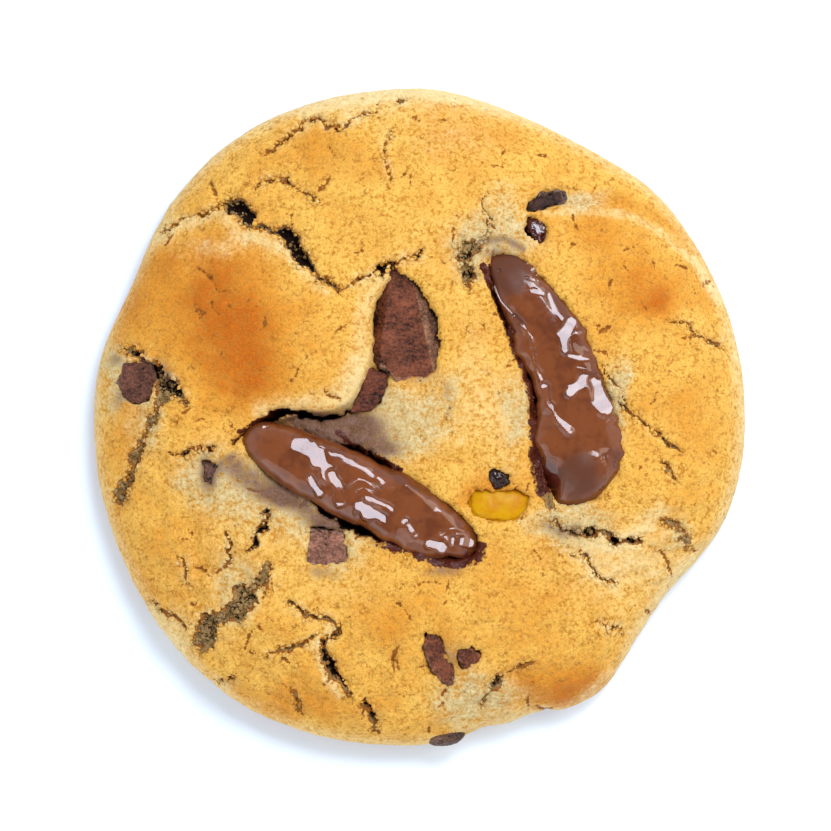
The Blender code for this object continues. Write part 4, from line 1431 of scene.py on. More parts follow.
@dataclass(frozen=True)
class Crumbs:
    """Half-baked crumbs that cling along the splits and lie in the gashes: lumpy little balls."""
    count: int = 4000
    smallest: float = 0.14
    largest: float = 0.44
    seed: int = 801

    def ball(self) -> tuple[Array, NDArray[np.int64]]:
        """The twelve points and twenty faces of an icosahedron of unit radius.

        Returns:
            The points and the faces, which all face outwards.
        """
        golden = (1.0 + 5.0 ** 0.5) / 2.0
        points = np.array([(side, 0.0, up * golden) for side in (-1, 1) for up in (-1, 1)])
        points = np.concatenate((points, points[:, [2, 0, 1]], points[:, [1, 2, 0]]))
        points /= np.linalg.norm(points[0])
        trios = np.stack(np.meshgrid(*[np.arange(12)] * 3, indexing="ij"), axis=-1).reshape(-1, 3)
        trios = trios[(trios[:, 0] < trios[:, 1]) & (trios[:, 1] < trios[:, 2])]
        sides = [np.linalg.norm(points[trios[:, a]] - points[trios[:, b]], axis=1)
                 for a, b in ((0, 1), (1, 2), (0, 2))]
        faces = trios[np.max(sides, axis=0) < 1.2]
        first, second, third = (points[faces[:, corner]] for corner in range(3))
        turned = np.einsum("ij,ij->i", np.cross(second - first, third - first), first) < 0
        faces[turned] = faces[turned][:, ::-1]
        return points, faces

    def build(self, skin_points: Array, weight: Array, fields: dict[str, Array],
              finish: bpy.types.Material) -> bpy.types.Object:
        """Makes all the crumbs as one joined mesh.

        Each crumb is an icosahedron whose points are moved in or out at random, stretched and
        turned at random, and set half into the skin at a point drawn by weight.

        Args:
            skin_points: the dough skin's points.
            weight: how likely a crumb is at each of them.
            fields: the skin's fields, which the crumbs take over.
            finish: the dough's finish.

        Returns:
            The crumbs' object.
        """
        rng = np.random.default_rng(self.seed)
        ball, faces = self.ball()
        spots = rng.choice(len(skin_points), self.count, replace=False, p=weight / weight.sum())
        size = self.smallest + (self.largest - self.smallest) * rng.power(1.0, self.count) ** 2.2
        shape = ball[None] * rng.uniform(0.75, 1.25, (self.count, len(ball), 1))
        shape = shape * (size[:, None] * rng.uniform(0.7, 1.3, (self.count, 3)))[:, None, :]
        turn = rng.normal(size=(self.count, 4))
        turn /= np.linalg.norm(turn, axis=1, keepdims=True)
        real, axis = turn[:, None, :1], turn[:, None, 1:]
        once = np.cross(np.broadcast_to(axis, shape.shape), shape)
        shape = shape + 2.0 * (real * once + np.cross(np.broadcast_to(axis, shape.shape), once))
        middle = skin_points[spots] + rng.normal(0.0, 0.10, (self.count, 3))
        points = (middle[:, None, :] + shape).reshape(-1, 3)
        points[:, 2] = points[:, 2].clip(0.1)
        joined = (faces[None] + len(ball) * np.arange(self.count)[:, None, None]).reshape(-1, 3)
        own = {name: np.repeat(values[spots], len(ball)) for name, values in fields.items()}
        spread = np.repeat(rng.uniform(-1.0, 1.0, self.count), len(ball))
        own["gap"] = 0.5 * own["gap"] + 0.10 + 0.06 * spread
        # Crumbs keep part of the painted shade of the place they lie.
        own["painted_shade"] = 0.55 * own["painted_shade"]
        own["cream"] = own["cream"] + 0.25 * spread
        return make_piece("dough_crumbs", points, [joined], finish, own)


def grid_faces(cells: int, first: int = 0) -> NDArray[np.int64]:
    """Quads of a square grid of points, whose first point has the given index."""
    side = cells + 1
    row, column = np.meshgrid(np.arange(cells), np.arange(cells), indexing="ij")
    corner = first + (row * side + column).ravel()
    return np.stack((corner, corner + 1, corner + side + 1, corner + side), axis=-1)


def border(cells: int) -> NDArray[np.int64]:
    """Indices round the edge of a square grid of points, from its first corner."""
    side = cells + 1
    run = np.arange(cells)
    return np.concatenate((run, run * side + cells, cells * side + cells - run, (cells - run) * side))


def halving(outer: NDArray[np.int64], inner: NDArray[np.int64]) -> NDArray[np.int64]:
    """Triangles between a loop and an inner loop with half as many points.

    Args:
        outer: indices of the outer loop.
        inner: indices of the inner loop.

    Returns:
        The triangles.
    """
    first, middle = outer[::2], outer[1::2]
    third, beside = np.roll(first, -1), np.roll(inner, -1)
    return np.concatenate((
        np.stack((middle, first, inner), axis=-1),
        np.stack((third, middle, beside), axis=-1),
        np.stack((beside, middle, inner), axis=-1),
    ))


# Pieces in the dough

@dataclass
class Seat:
    """The pocket of a piece: its outline as a signed distance, and the shape of the pocket."""
    middle: Point
    reach: float
    outline: Callable[[Array, Array], Array]
    depth: float
    tuck: float
    wall: float = 0.9
    facing: float = 0.2
    ragged: float = 0.6
    round_over: float = 0.35
    round_reach: float = 0.6
    painted_shade_depth: float = 1.5
    cover: tuple[Mound, ...] = ()


@dataclass(frozen=True)
class Gleam:
    """A band of a melted surface that faces the soft light, along a course."""
    points: tuple[Point, ...]
    width: float


@dataclass
class Stick:
    """A stick of melted chocolate that lies in the dough.

    The breadths are pairs of a share of the length and the full breadth there.
    """
    node: str
    finish: PieceFinish
    start: Point
    end: Point
    bow: float
    breadths: tuple[tuple[float, float], ...]
    height: float
    sink: float
    seed: int
    gleams: tuple[Gleam, ...] = ()
    dulled: tuple[Mound, ...] = ()
    reddened: tuple[Mound, ...] = ()
    bulges: tuple[Mound, ...] = ()
    rows: int = 360
    columns: int = 200
    bluntness: float = 7.0
    squareness: float = 3.0
    light_slope: Point = (0.109, 0.240)
    give: float = 0.35
    nodules: float = 0.45
    flow: float = 0.20
    calm_until: float = 0.45

    def directions(self) -> tuple[Array, Array, float]:
        """Direction of the stick's run in plan, direction to its left hand, and its length."""
        start, end = np.array(self.start), np.array(self.end)
        length = float(np.linalg.norm(end - start))
        run = (end - start) / length
        return run, np.array((-run[1], run[0])), length

    def half_breadth(self, share: Array) -> Array:
        """Half the stick's breadth along it: a smooth line through the breadths, with blunt ends."""
        breadths = Course(self.breadths, 0.02).curve()
        return 0.5 * np.interp(share, breadths[:, 0], breadths[:, 1]) * self.blunt(share)

    def blunt(self, share: Array) -> Array:
        """Share of the full section along the stick: 1, and down to 0 just at the ends."""
        return (1.0 - np.abs(2.0 * share - 1.0) ** self.bluntness).clip(0.0) ** 0.5

    def in_stick(self, x: Array, y: Array) -> tuple[Array, Array]:
        """Share along the stick and distance to the left of its middle line, of places in plan.

        Args:
            x: places along X.
            y: places along Y.

        Returns:
            The share and the distance at each place.
        """
        run, left_hand, length = self.directions()
        away_x, away_y = x - self.start[0], y - self.start[1]
        share = (away_x * run[0] + away_y * run[1]) / length
        inside = np.clip(share, 0.0, 1.0)
        aside = away_x * left_hand[0] + away_y * left_hand[1]
        return share, aside + self.bow * 4.0 * inside * (1.0 - inside)

    def outline(self, x: Array, y: Array) -> Array:
        """Signed distance to the stick's outline in plan, negative inside.

        Args:
            x: places along X.
            y: places along Y.

        Returns:
            The distance at each place.
        """
        share, aside = self.in_stick(x, y)
        length = self.directions()[2]
        beyond = (np.abs(share - 0.5) - 0.5) * length
        edge = np.abs(aside) - self.half_breadth(np.clip(share, 0.003, 0.997))
        outside = np.hypot(np.maximum(edge, 0.0), np.maximum(beyond, 0.0))
        return np.where(beyond > 0, outside, np.maximum(edge, beyond))

    def seat(self) -> Seat:
        """The stick's pocket in the dough."""
        middle = (0.5 * (self.start[0] + self.end[0]), 0.5 * (self.start[1] + self.end[1]))
        return Seat(middle, 0.5 * self.directions()[2] + 2.0, self.outline, 5.0, 0.35)

    def section(self) -> tuple[Array, Array]:
        """A superellipse of unit half sizes, with its points evenly spaced round it."""
        angle = np.linspace(0.0, 2 * np.pi, 4000)
        across = signed_power(np.cos(angle), 2 / self.squareness)
        up = signed_power(np.sin(angle), 2 / self.squareness)
        run = np.concatenate(([0.0], np.cumsum(np.hypot(np.diff(across), np.diff(up)))))
        places = np.linspace(0.0, run[-1], self.columns, endpoint=False)
        return np.interp(places, run, across), np.interp(places, run, up)

    def build(self, dough: Dough) -> bpy.types.Object:
        """Makes the stick.

        A squared-off section is carried along the bowed middle line. The upper half gets slow
        flow marks all over and nodules at its shoulders, and each gleam is one band of the top
        that is turned to face the soft light.

        Args:
            dough: the dough it lies in.

        Returns:
            The stick's object.
        """
        even = np.linspace(0.0, 1.0, self.rows + 2)[1:-1]
        share = 0.6 * even + 0.4 * (1.0 - np.cos(np.pi * even)) / 2.0
        across, up = self.section()
        run, left_hand, length = self.directions()
        start = np.array(self.start)
        bow = self.bow * 4.0 * share * (1.0 - share)
        line = start + run * (length * share)[:, None] - left_hand * bow[:, None]
        level = dough.dome_height(line[:, 0], line[:, 1]) - self.sink
        along = (share * length)[:, None]
        calm = eased((share - self.calm_until) / 0.25)[:, None]
        side = 2.5 * np.sign(across) + 0.0 * along
        uneven = 1.0 + (0.7 + calm) * Crags(3.4, 0.08, self.seed, 3).at(along, side)
        aside = self.half_breadth(share)[:, None] * across * uneven
        x = line[:, :1] + aside * left_hand[0]
        y = line[:, 1:] + aside * left_hand[1]
        z = level[:, None] + 0.5 * self.height * self.blunt(share)[:, None] * up
        top = eased(up * 1.6)[None, :] * self.blunt(share)[:, None]
        shoulder = eased((np.abs(across) - 0.35) / 0.4)
        flow = Crags(5.5, self.flow, self.seed + 1, 2, 0.4).at(0.6 * along, aside)
        nodules = Crags(3.0, self.nodules, self.seed + 5, 2, 0.35).at(along, aside)
        z = z + top * (flow + nodules * (0.10 + 0.90 * shoulder * (0.25 + 0.75 * calm)))
        z = z + top * together(self.bulges, x, y)
        x, y, z, top = x.ravel(), y.ravel(), z.ravel(), top.ravel()
        for gleam in self.gleams:
            self.tilt(gleam, x, y, z, top)
        ends = [(*line[0], level[0]), (*line[-1], level[-1])]
        points = np.concatenate((np.column_stack((x, y, z)), ends))
        fields = {
            "dull": together(self.dulled, points[:, 0], points[:, 1]),
            "red": together(self.reddened, points[:, 0], points[:, 1]),
        }
        return make_piece(f"{self.node}_melt", points, tube_faces(self.rows, self.columns),
                          self.finish.material(), fields)

    def tilt(self, gleam: Gleam, x: Array, y: Array, z: Array, top: Array) -> None:
        """Turns a gleam's band to the soft light.

        The band's middle follows the stick's own height, and leans lengthwise as far as the
        melt gives way. Across its course it leans fully towards the light.

        Args:
            gleam: the gleam.
            x: places of the stick's points along X.
            y: places along Y.
            z: heights, which change.
            top: how far each point is on the upper side, from 0 to 1.
        """
        course = Course(gleam.points, 0.2)
        place = course.within(x, y, gleam.width)
        place = place[top[place] > 0.3]
        away_x, away_y, share, _ = course.near(x[place], y[place])
        marks = np.linspace(0.0, 1.0, 24)
        spots = course.at(marks)
        far = (x[place][:, None] - spots[:, 0]) ** 2 + (y[place][:, None] - spots[:, 1]) ** 2
        levels = z[place][far.argmin(axis=0)]
        line = np.polyfit(marks, levels, 2)
        reach = spots[-1] - spots[0]
        lean = -float(reach @ self.light_slope) - (np.polyval(line, 1.0) - np.polyval(line, 0.0))
        lean = float(np.clip(lean, -2 * self.give, 2 * self.give))
        flat = np.polyval(line, share) + lean * (share - 0.5)
        flat -= away_x * self.light_slope[0] + away_y * self.light_slope[1]
        uneven = 1.0 + Crags(1.4, 0.35, self.seed + 9, 2).at(x[place], y[place])
        close = np.hypot(away_x, away_y) / (0.5 * gleam.width * uneven)
        weight = 1.0 - eased((close - 0.75) / 0.5)
        z[place] = z[place] * (1 - weight) + flat * weight


@dataclass(frozen=True)
class Facet:
    """A slanted side of a broken piece, which falls away past the line through two points."""
    start: Point
    end: Point
    slope: float
    worn: float
    rough: float = 0.0

    def beyond(self, x: Array, y: Array) -> Array:
        """How far places lie past the line, on its left-hand side."""
        run_x, run_y = self.end[0] - self.start[0], self.end[1] - self.start[1]
        length = float(np.hypot(run_x, run_y))
        return ((y - self.start[1]) * run_x - (x - self.start[0]) * run_y) / length


@dataclass
class Chunk:
    """A broken piece of chocolate: an uneven plan of straight sides, a flattish top and a bevel."""
    node: str
    finish: PieceFinish
    corners: tuple[Point, ...]
    thickness: float
    sink: float
    seed: int
    sharpness: float = 16.0
    flatness: float = 6.0
    rough: float = 0.12
    tuck: float = 0.25
    rise: Point = (0.0, 0.0)
    worn: float = 0.5
    rings: int = 64
    columns: int = 110
    cover: tuple[Mound, ...] = ()
    facets: tuple[Facet, ...] = ()
    wall_rows: int = 6
    wall_height: float = 0.55
    cap_breadth: float = 0.98
    edge_reach: float = 1.3

    def middle(self) -> Point:
        """Middle of the plan."""
        corners = np.array(self.corners)
        return float(corners[:, 0].mean()), float(corners[:, 1].mean())

    def plan_radius(self, bearing: Array) -> Array:
        """Distance of the outline at a bearing: the nearest of the straight sides, blended.

        Args:
            bearing: bearings from the middle, in radians.

        Returns:
            The distance at each bearing.
        """
        corners = np.array(self.corners) - self.middle()
        total = np.zeros(np.shape(bearing))
        for start, end in zip(corners, np.roll(corners, -1, axis=0)):
            facing = np.array((end[1] - start[1], start[0] - end[0]))
            facing /= np.linalg.norm(facing)
            distance = float(facing @ start)
            facing, distance = (facing, distance) if distance > 0 else (-facing, -distance)
            towards = np.clip(facing[0] * np.cos(bearing) + facing[1] * np.sin(bearing), 1e-6, None)
            total += (towards / distance) ** self.sharpness
        return total ** (-1.0 / self.sharpness)

    def outline(self, x: Array, y: Array) -> Array:
        """About the signed distance to the outline in plan, negative inside."""
        middle = self.middle()
        away_x, away_y = x - middle[0], y - middle[1]
        bearing = np.arctan2(away_y, away_x)
        return (np.hypot(away_x, away_y) - self.plan_radius(bearing)) * 0.9

    def seat(self) -> Seat:
        """The chunk's pocket in the dough."""
        reach = float(np.linalg.norm(np.array(self.corners) - self.middle(), axis=1).max())
        return Seat(self.middle(), reach, self.outline, self.thickness + 0.4, self.tuck, 0.6,
                    ragged=0.9, cover=self.cover)

    def build(self, dough: Dough) -> bpy.types.Object:
        """Makes the chunk as rings from its underside to its top, tilted with the dome.

        Half the rings make its rounded underside, half its top, and a few more its upright wall.

        Args:
            dough: the dough it lies in.

        Returns:
            The chunk's object.
        """
        bearing = np.linspace(0.0, 2 * np.pi, self.columns, endpoint=False)
        widest = np.cos(0.5 * np.pi / (self.rings + 1)) ** (2 / self.flatness)
        cap = self.cap_breadth * np.linspace(0.04, widest, self.rings // 2)
        shrink = np.concatenate((cap, np.ones(self.wall_rows), cap[::-1]))
        sign = np.concatenate((-np.ones(len(cap)), np.linspace(-1.0, 1.0, self.wall_rows), np.ones(len(cap))))
        side = (1.0 - shrink ** self.flatness).clip(0.0) ** (1 / self.flatness)
        lift = 0.5 * self.thickness * (sign * side.clip(self.wall_height))
        radius = self.plan_radius(bearing)
        away_x = shrink[:, None] * radius * np.cos(bearing)
        away_y = shrink[:, None] * radius * np.sin(bearing)
        middle = self.middle()
        x, y = middle[0] + away_x, middle[1] + away_y
        slope_x, slope_y = self.slope(dough)
        level = float(dough.dome_height(*map(np.array, middle))) - self.sink - 0.5 * self.thickness
        upper = eased(lift / (0.5 * self.thickness) * 1.5)[:, None]
        edge = np.clip(1.0 - (radius - np.hypot(away_x, away_y)) / self.edge_reach, 0.0, 1.0)
        crags = (0.4 + 0.6 * edge) * Crags(2.0, self.rough, self.seed, 3).at(x, y) * upper
        crags += Crags(0.8, self.rough * 1.6, self.seed + 7, 2).at(x, y + lift[:, None]) * edge * upper
        z = level + lift[:, None] + slope_x * away_x + slope_y * away_y + crags
        around = 3.0 * bearing + 0.0 * lift[:, None]
        swell = 1.0 + 0.5 * Crags(1.1, self.rough, self.seed + 3, 3).at(around, lift[:, None]) * edge
        x, y = middle[0] + away_x * swell, middle[1] + away_y * swell
        ends = [(*middle, float(z[0].mean())), (*middle, float(z[-1].mean()))]
        worn = edge * self.worn * 1.6
        for facet in self.facets:
            beyond = np.clip(facet.beyond(x, y), 0.0, None)
            grit = facet.rough * (0.5 + 2.0 * Crags(0.9, 0.5, self.seed + 11, 2).at(x, y)) * eased(beyond)
            z = z - (facet.slope * beyond + grit) * upper
            worn = np.where((beyond > 0.1) & (upper > 0), facet.worn, worn)
        worn = np.append(worn.ravel(), (0.0, 0.0))
        return make_tube(f"{self.node}_piece", (x, y, z), ends, self.finish.material(), {"worn": worn})

    def slope(self, dough: Dough) -> Point:
        """Slope of the chunk's top along X and Y: that of the dome, and its own tilt.

        Args:
            dough: the dough it lies in.

        Returns:
            The two slopes.
        """
        x, y = self.middle()
        step = 0.5
        places = np.array((x - step, x + step, x, x)), np.array((y, y, y - step, y + step))
        left, right, near, far = dough.dome_height(*places)
        return (float(right - left) / (2 * step) + self.rise[0],
                float(far - near) / (2 * step) + self.rise[1])


@dataclass
class WallChip:
    """A chip in the side wall: its bearing, distance out, height and full size."""
    node: str
    finish: PieceFinish
    bearing: float
    distance: float
    height: float
    size: tuple[float, float, float]
    worn: float = 0.5
    rings: int = 40
    columns: int = 60

    def build(self, dough: Dough) -> bpy.types.Object:
        """Makes the chip: a squared ball turned to its bearing, with crags that run in and out.

        Args:
            dough: the dough it lies in.

        Returns:
            The chip's object.
        """
        latitude = np.linspace(-np.pi / 2, np.pi / 2, self.rings + 2)[1:-1][:, None]
        around = np.linspace(0.0, 2 * np.pi, self.columns, endpoint=False)
        level = np.cos(latitude) ** 0.8
        across = 0.5 * self.size[0] * level * signed_power(np.cos(around), 0.85)
        upward = 0.5 * self.size[2] * level * signed_power(np.sin(around), 0.85)
        outward_size = 0.5 * self.size[1] * signed_power(np.sin(latitude), 0.8) * np.ones_like(around)
        outward_size = outward_size + Crags(1.6, 0.16, 201, 3).at(across, upward)
        angle = np.radians(self.bearing)
        middle_x, middle_y = dough.rim_middle()
        far = self.distance + outward_size
        x = far * np.cos(angle) - across * np.sin(angle) - middle_x
        y = far * np.sin(angle) + across * np.cos(angle) - middle_y
        z = self.height + upward
        ends = [(float(x[0].mean()), float(y[0].mean()), self.height),
                (float(x[-1].mean()), float(y[-1].mean()), self.height)]
        worn = np.full(x.size + len(ends), self.worn)
        return make_tube(f"{self.node}_piece", (x, y, z), ends, self.finish.material(), {"worn": worn})


# Studio

@dataclass(frozen=True)
class Softbox:
    """A rectangular soft light that faces the cookie: its place and size in millimetres, its
    power in watts and its linear colour.
    """
    name: str
    place: tuple[float, float, float]
    size: Point
    power: float
    colour: tuple[float, float, float]

    def build(self) -> None:
        """Hangs the light, hidden from the camera."""
        light = bpy.data.lights.new(self.name, "AREA")
        light.shape = "RECTANGLE"
        light.size, light.size_y = self.size[0] * MM, self.size[1] * MM
        light.energy = self.power
        light.color = self.colour
        item = bpy.data.objects.new(self.name, light)
        spot = Vector(self.place) * MM
        item.location = spot
        item.rotation_euler = (-spot).to_track_quat("-Z", "Y").to_euler()
        item.visible_camera = False
        bpy.context.scene.collection.objects.link(item)


@dataclass(frozen=True)
class Studio:
    """White floor, soft lights and a camera that looks straight down."""
    photo_span: float = 124.65
    camera_height: float = 1600.0
    camera_middle: Point = (-0.6, 0.2)
    sensor: float = 36.0
    rim_height: float = 6.0
    floor_reach: float = 3000.0
    floor_depth: float = 20.0
    floor_drop: float = 0.02
    floor_colour: tuple[float, float, float] = (0.79, 0.875, 0.99)
    air_colour: tuple[float, float, float] = (0.90, 0.95, 1.0)
    air: tuple[float, float, float, float] = (0.35, 0.95, 1.25, 0.30)
    lights: tuple[Softbox, ...] = (
        Softbox("key", (560.0, 360.0, 700.0), (600.0, 600.0), 4.25, (1.0, 0.93, 0.80)),
        Softbox("gleam_box", (150.0, 330.0, 640.0), (250.0, 250.0), 4.3, (0.70, 0.76, 0.88)),
        Softbox("fill", (-500.0, -800.0, 700.0), (1100.0, 1100.0), 6.2, (0.95, 0.97, 1.0)),
    )

    def floor(self) -> bpy.types.Object:
        """A wide white floor, a hair below the cookie's base."""
        corners = ((-1, -1), (1, -1), (1, 1), (-1, 1))
        points = np.array([(x * self.floor_reach, y * self.floor_reach, z)
                           for z in (0.0, -self.floor_depth) for x, y in corners])
        sides = [(4 + side, 4 + (side + 1) % 4, (side + 1) % 4, side) for side in range(4)]
        faces = np.array([(0, 1, 2, 3), (7, 6, 5, 4), *sides])
        material = Graph("white_floor").finish({
            "Base Color": (*self.floor_colour, 1.0),
            "Roughness": 0.9,
            "Specular IOR Level": 0.1,
        })
        return make_piece("studio_floor", points - (0, 0, self.floor_drop), [faces], material)

    def world(self) -> None:
        """A soft, slightly cool light from all round, darker straight above."""
        world = bpy.data.worlds.new("studio_air")
        world.use_nodes = True
        nodes = Nodes(world.node_tree)
        place = nodes.add("ShaderNodeTexCoord").out("Generated")
        inputs = dict(zip(("From Min", "From Max", "To Min", "To Max"), self.air))
        inputs["Value"] = nodes.add("ShaderNodeSeparateXYZ", {}, {0: place}).out("Z")
        strength = nodes.add("ShaderNodeMapRange", {"interpolation_type": "SMOOTHSTEP"}, inputs).out()
        nodes.fill(world.node_tree.nodes["Background"],
                   {"Color": (*self.air_colour, 1.0), "Strength": strength})
        bpy.context.scene.world = world

    def camera(self) -> None:
        """A long lens straight above, whose frame spans the photo's width at the rim."""
        data = bpy.data.cameras.new("camera")
        data.sensor_width = self.sensor
        data.lens = self.sensor * (self.camera_height - self.rim_height) / self.photo_span
        data.clip_start, data.clip_end = 0.05, 20.0
        item = bpy.data.objects.new("camera", data)
        item.location = Vector((*self.camera_middle, self.camera_height)) * MM
        bpy.context.scene.collection.objects.link(item)
        bpy.context.scene.camera = item

    def build(self) -> None:
        """Sets up the floor, lights, world and camera."""
        self.floor()
        for light in self.lights:
            light.build()
        self.world()
        self.camera()
        bpy.context.scene.view_settings.view_transform = "Standard"


# The cookie

@dataclass
class Cookie:
    """The whole cookie: its dough and every piece in it."""
    dough: Dough
    dark: Colour = (84, 28, 24)
    black: Colour = (46, 13, 9)

    def sticks(self) -> list[Stick]:
        """The two melted sticks."""
        return [
            Stick("baton_left", MeltedFinish("baton_left_chocolate"), (-26.4, -2.4), (8.8, -20.0),
                  bow=-0.2, height=7.6, sink=2.5, seed=301, nodules=0.68,
                  breadths=((0.0, 6.8), (0.08, 7.9), (0.2, 8.9), (0.33, 9.6), (0.45, 10.1), (0.6, 10.1),
                            (0.7, 10.0), (0.82, 8.8), (0.9, 7.8), (1.0, 7.2)),
                  gleams=(
                      Gleam(((-17.4, -4.2), (-15.2, -6.2), (-13.6, -8.2)), 2.9),
                      Gleam(((-13.0, -8.6), (-11.9, -10.6), (-12.0, -12.8)), 1.7),
                      Gleam(((-16.2, -9.0), (-15.8, -10.2), (-15.0, -11.4)), 1.3),
                      Gleam(((-8.9, -13.4), (-7.4, -14.2), (-5.8, -14.8)), 2.4),
                      Gleam(((-7.8, -12.1), (-6.0, -12.8), (-4.2, -13.7)), 1.0),
                      Gleam(((-2.0, -15.6), (-0.6, -17.6)), 1.2),
                      Gleam(((1.6, -18.9), (3.2, -19.4)), 1.7), Gleam(((5.2, -18.4), (7.4, -18.8)), 1.5),
                      Gleam(((-10.6, -10.3), (-9.0, -9.4), (-7.2, -9.8), (-5.8, -10.6)), 0.45),
                      Gleam(((-9.4, -11.0), (-8.2, -10.6), (-6.8, -11.0)), 0.4),
                      Gleam(((3.2, -17.2), (4.8, -16.6), (6.6, -17.0)), 0.4),
                      Gleam(((-23.2, -1.5), (-22.7, -1.5)), 0.7)),
                  reddened=mounds((8.0, -21.0, 2.2, 1.4, 0.8), (2.0, -22.0, 3.0, 0.9, 0.7)),
                  bulges=mounds((3.2, -19.4, 1.9, 1.4, 0.5), (6.6, -18.6, 1.7, 1.3, 0.5),
                                (-1.0, -16.6, 2.2, 1.6, 0.35), (-4.6, -11.4, 2.4, 1.4, 0.3))),
            Stick("baton_right", MeltedFinish("baton_right_chocolate"), (11.4, 24.6), (24.4, -13.4),
                  bow=-3.6, height=7.8, sink=2.6, seed=401, squareness=3.4, calm_until=0.2,
                  breadths=((0.0, 7.0), (0.1, 7.8), (0.3, 9.6), (0.5, 11.2), (0.7, 12.2), (0.85, 12.8),
                            (1.0, 12.0)),
                  gleams=(
                      Gleam(((11.2, 19.4), (12.2, 17.2), (14.2, 15.0), (14.8, 14.2)), 0.45),
                      Gleam(((14.2, 15.0), (15.4, 13.8), (16.8, 11.4), (17.2, 9.6)), 0.7),
                      Gleam(((17.0, 10.0), (17.4, 7.2), (18.4, 4.8)), 0.5),
                      Gleam(((18.6, 4.4), (19.4, 2.0), (20.6, -0.4), (22.4, -2.2)), 1.1),
                      Gleam(((9.9, 21.3), (11.8, 21.8)), 0.8), Gleam(((16.3, 22.8), (17.4, 21.2)), 0.8),
                      Gleam(((16.0, 20.7), (17.6, 20.3)), 0.6), Gleam(((16.9, 18.9), (18.8, 18.2)), 0.7),
                      Gleam(((19.2, 18.2), (20.2, 16.0), (21.6, 14.2)), 0.8),
                      Gleam(((22.6, 14.0), (21.6, 12.0), (21.6, 10.0)), 1.9),
                      Gleam(((22.2, 9.2), (23.6, 8.8), (25.2, 8.6)), 0.8),
                      Gleam(((24.6, 5.8), (23.4, 4.6), (22.4, 3.4)), 1.7),
                      Gleam(((26.4, 4.8), (27.0, 2.8), (27.8, 1.2)), 2.3),
                      Gleam(((23.4, 7.4), (24.6, 7.2)), 0.5), Gleam(((25.9, -5.2), (26.4, -5.8)), 0.9),
                      Gleam(((27.5, -5.8), (27.8, -7.4), (27.6, -9.2)), 0.45)),
                  dulled=mounds((24.0, -8.6, 3.4, 4.2, 1.0), (13.4, 21.4, 3.2, 3.4, 1.3)),
                  reddened=mounds((19.2, -9.6, 1.7, 3.0, 1.6), (10.6, 19.0, 0.9, 4.0, 0.8),
                                  (29.4, -7.0, 1.0, 3.0, 0.5)),
                  bulges=mounds((24.4, -8.8, 3.0, 3.8, 0.9), (18.6, -9.6, 1.9, 2.8, -1.6),
                                (19.4, 12.4, 3.0, 3.0, 0.3), (24.6, 0.4, 3.0, 3.4, 0.3))),
        ]

    def slab(self) -> list[Chunk]:
        """The dull slab and the corner broken off it."""
        return [
            Chunk("slab", DullFinish("slab_chocolate"),
                  ((-3.8, 22.6), (-6.9, 17.0), (-7.6, 11.0), (-6.7, 8.0), (-4.2, 5.6), (2.2, 4.8),
                   (3.7, 10.0), (2.7, 15.2), (-0.6, 20.4)),
                  thickness=3.4, sink=1.3, seed=501, sharpness=30.0, flatness=12.0, rough=0.26, tuck=0.1,
                  rise=(0.03, 0.02), worn=0.7, rings=100, columns=240,
                  cover=mounds((0.4, 4.8, 3.2, 1.9, 2.6), (-2.6, 5.6, 2.2, 1.0, 1.2)),
                  facets=(Facet((-6.3, 5.0), (-4.4, 21.0), 1.1, 0.30, 0.0),
                          Facet((-1.4, 21.5), (2.3, 5.0), 0.7, 1.0, 0.25))),
            Chunk("slab_corner", DullFinish("corner_chocolate", (118, 62, 42)),
                  ((-7.5, 7.4), (-4.6, 6.4), (-5.2, 3.2), (-7.2, 0.8), (-10.4, 0.6)),
                  thickness=3.2, sink=1.9, seed=511, sharpness=30.0, flatness=12.0, rough=0.05, tuck=0.0,
                  worn=0.15),
        ]

    def lower_chips(self) -> list[Chunk]:
        """The dull chips at the left, below the left stick and at the lower middle."""
        return [
            Chunk("chip_left", DullFinish("left_chip_chocolate", (116, 70, 54)),
                  ((-45.2, 8.4), (-40.7, 8.9), (-39.0, 5.6), (-40.2, 2.3), (-42.6, 1.4), (-44.9, 3.0)),
                  thickness=4.6, sink=0.15, seed=521, sharpness=12.0, rough=0.26, tuck=0.15,
                  cover=mounds((-45.6, 7.0, 1.6, 2.4, 1.2), (-42.0, 9.6, 3.0, 1.2, 0.9),
                               (-39.2, 2.6, 1.4, 1.6, 0.8))),
            Chunk("chip_low", DullFinish("low_chip_chocolate", (158, 106, 86), (190, 148, 124)),
                  ((-16.3, -16.3), (-11.2, -17.0), (-10.5, -21.5), (-14.4, -22.7), (-17.0, -21.7)),
                  thickness=4.4, sink=0.15, seed=531, sharpness=14.0, rough=0.20, tuck=0.1,
                  cover=mounds((-14.6, -23.4, 3.2, 1.6, 1.6), (-17.4, -19.0, 1.2, 2.0, 0.8))),
            Chunk("chip_bottom_a", DullFinish("bottom_chip_chocolate"),
                  ((1.0, -32.2), (3.4, -33.0), (5.8, -38.3), (4.0, -40.3), (1.6, -37.8), (0.4, -34.5)),
                  thickness=4.0, sink=0.05, seed=541, sharpness=10.0, flatness=5.0, rough=0.24, tuck=0.05,
                  cover=mounds((4.9, -34.2, 1.2, 1.6, 1.0))),
            Chunk("chip_bottom_b", DullFinish("small_chip_chocolate"),
                  ((5.3, -34.8), (7.6, -34.2), (9.7, -35.7), (9.2, -37.3), (6.2, -37.9)),
                  thickness=3.4, sink=0.1, seed=551, sharpness=10.0, flatness=5.0, rough=0.22, tuck=0.05),
        ]

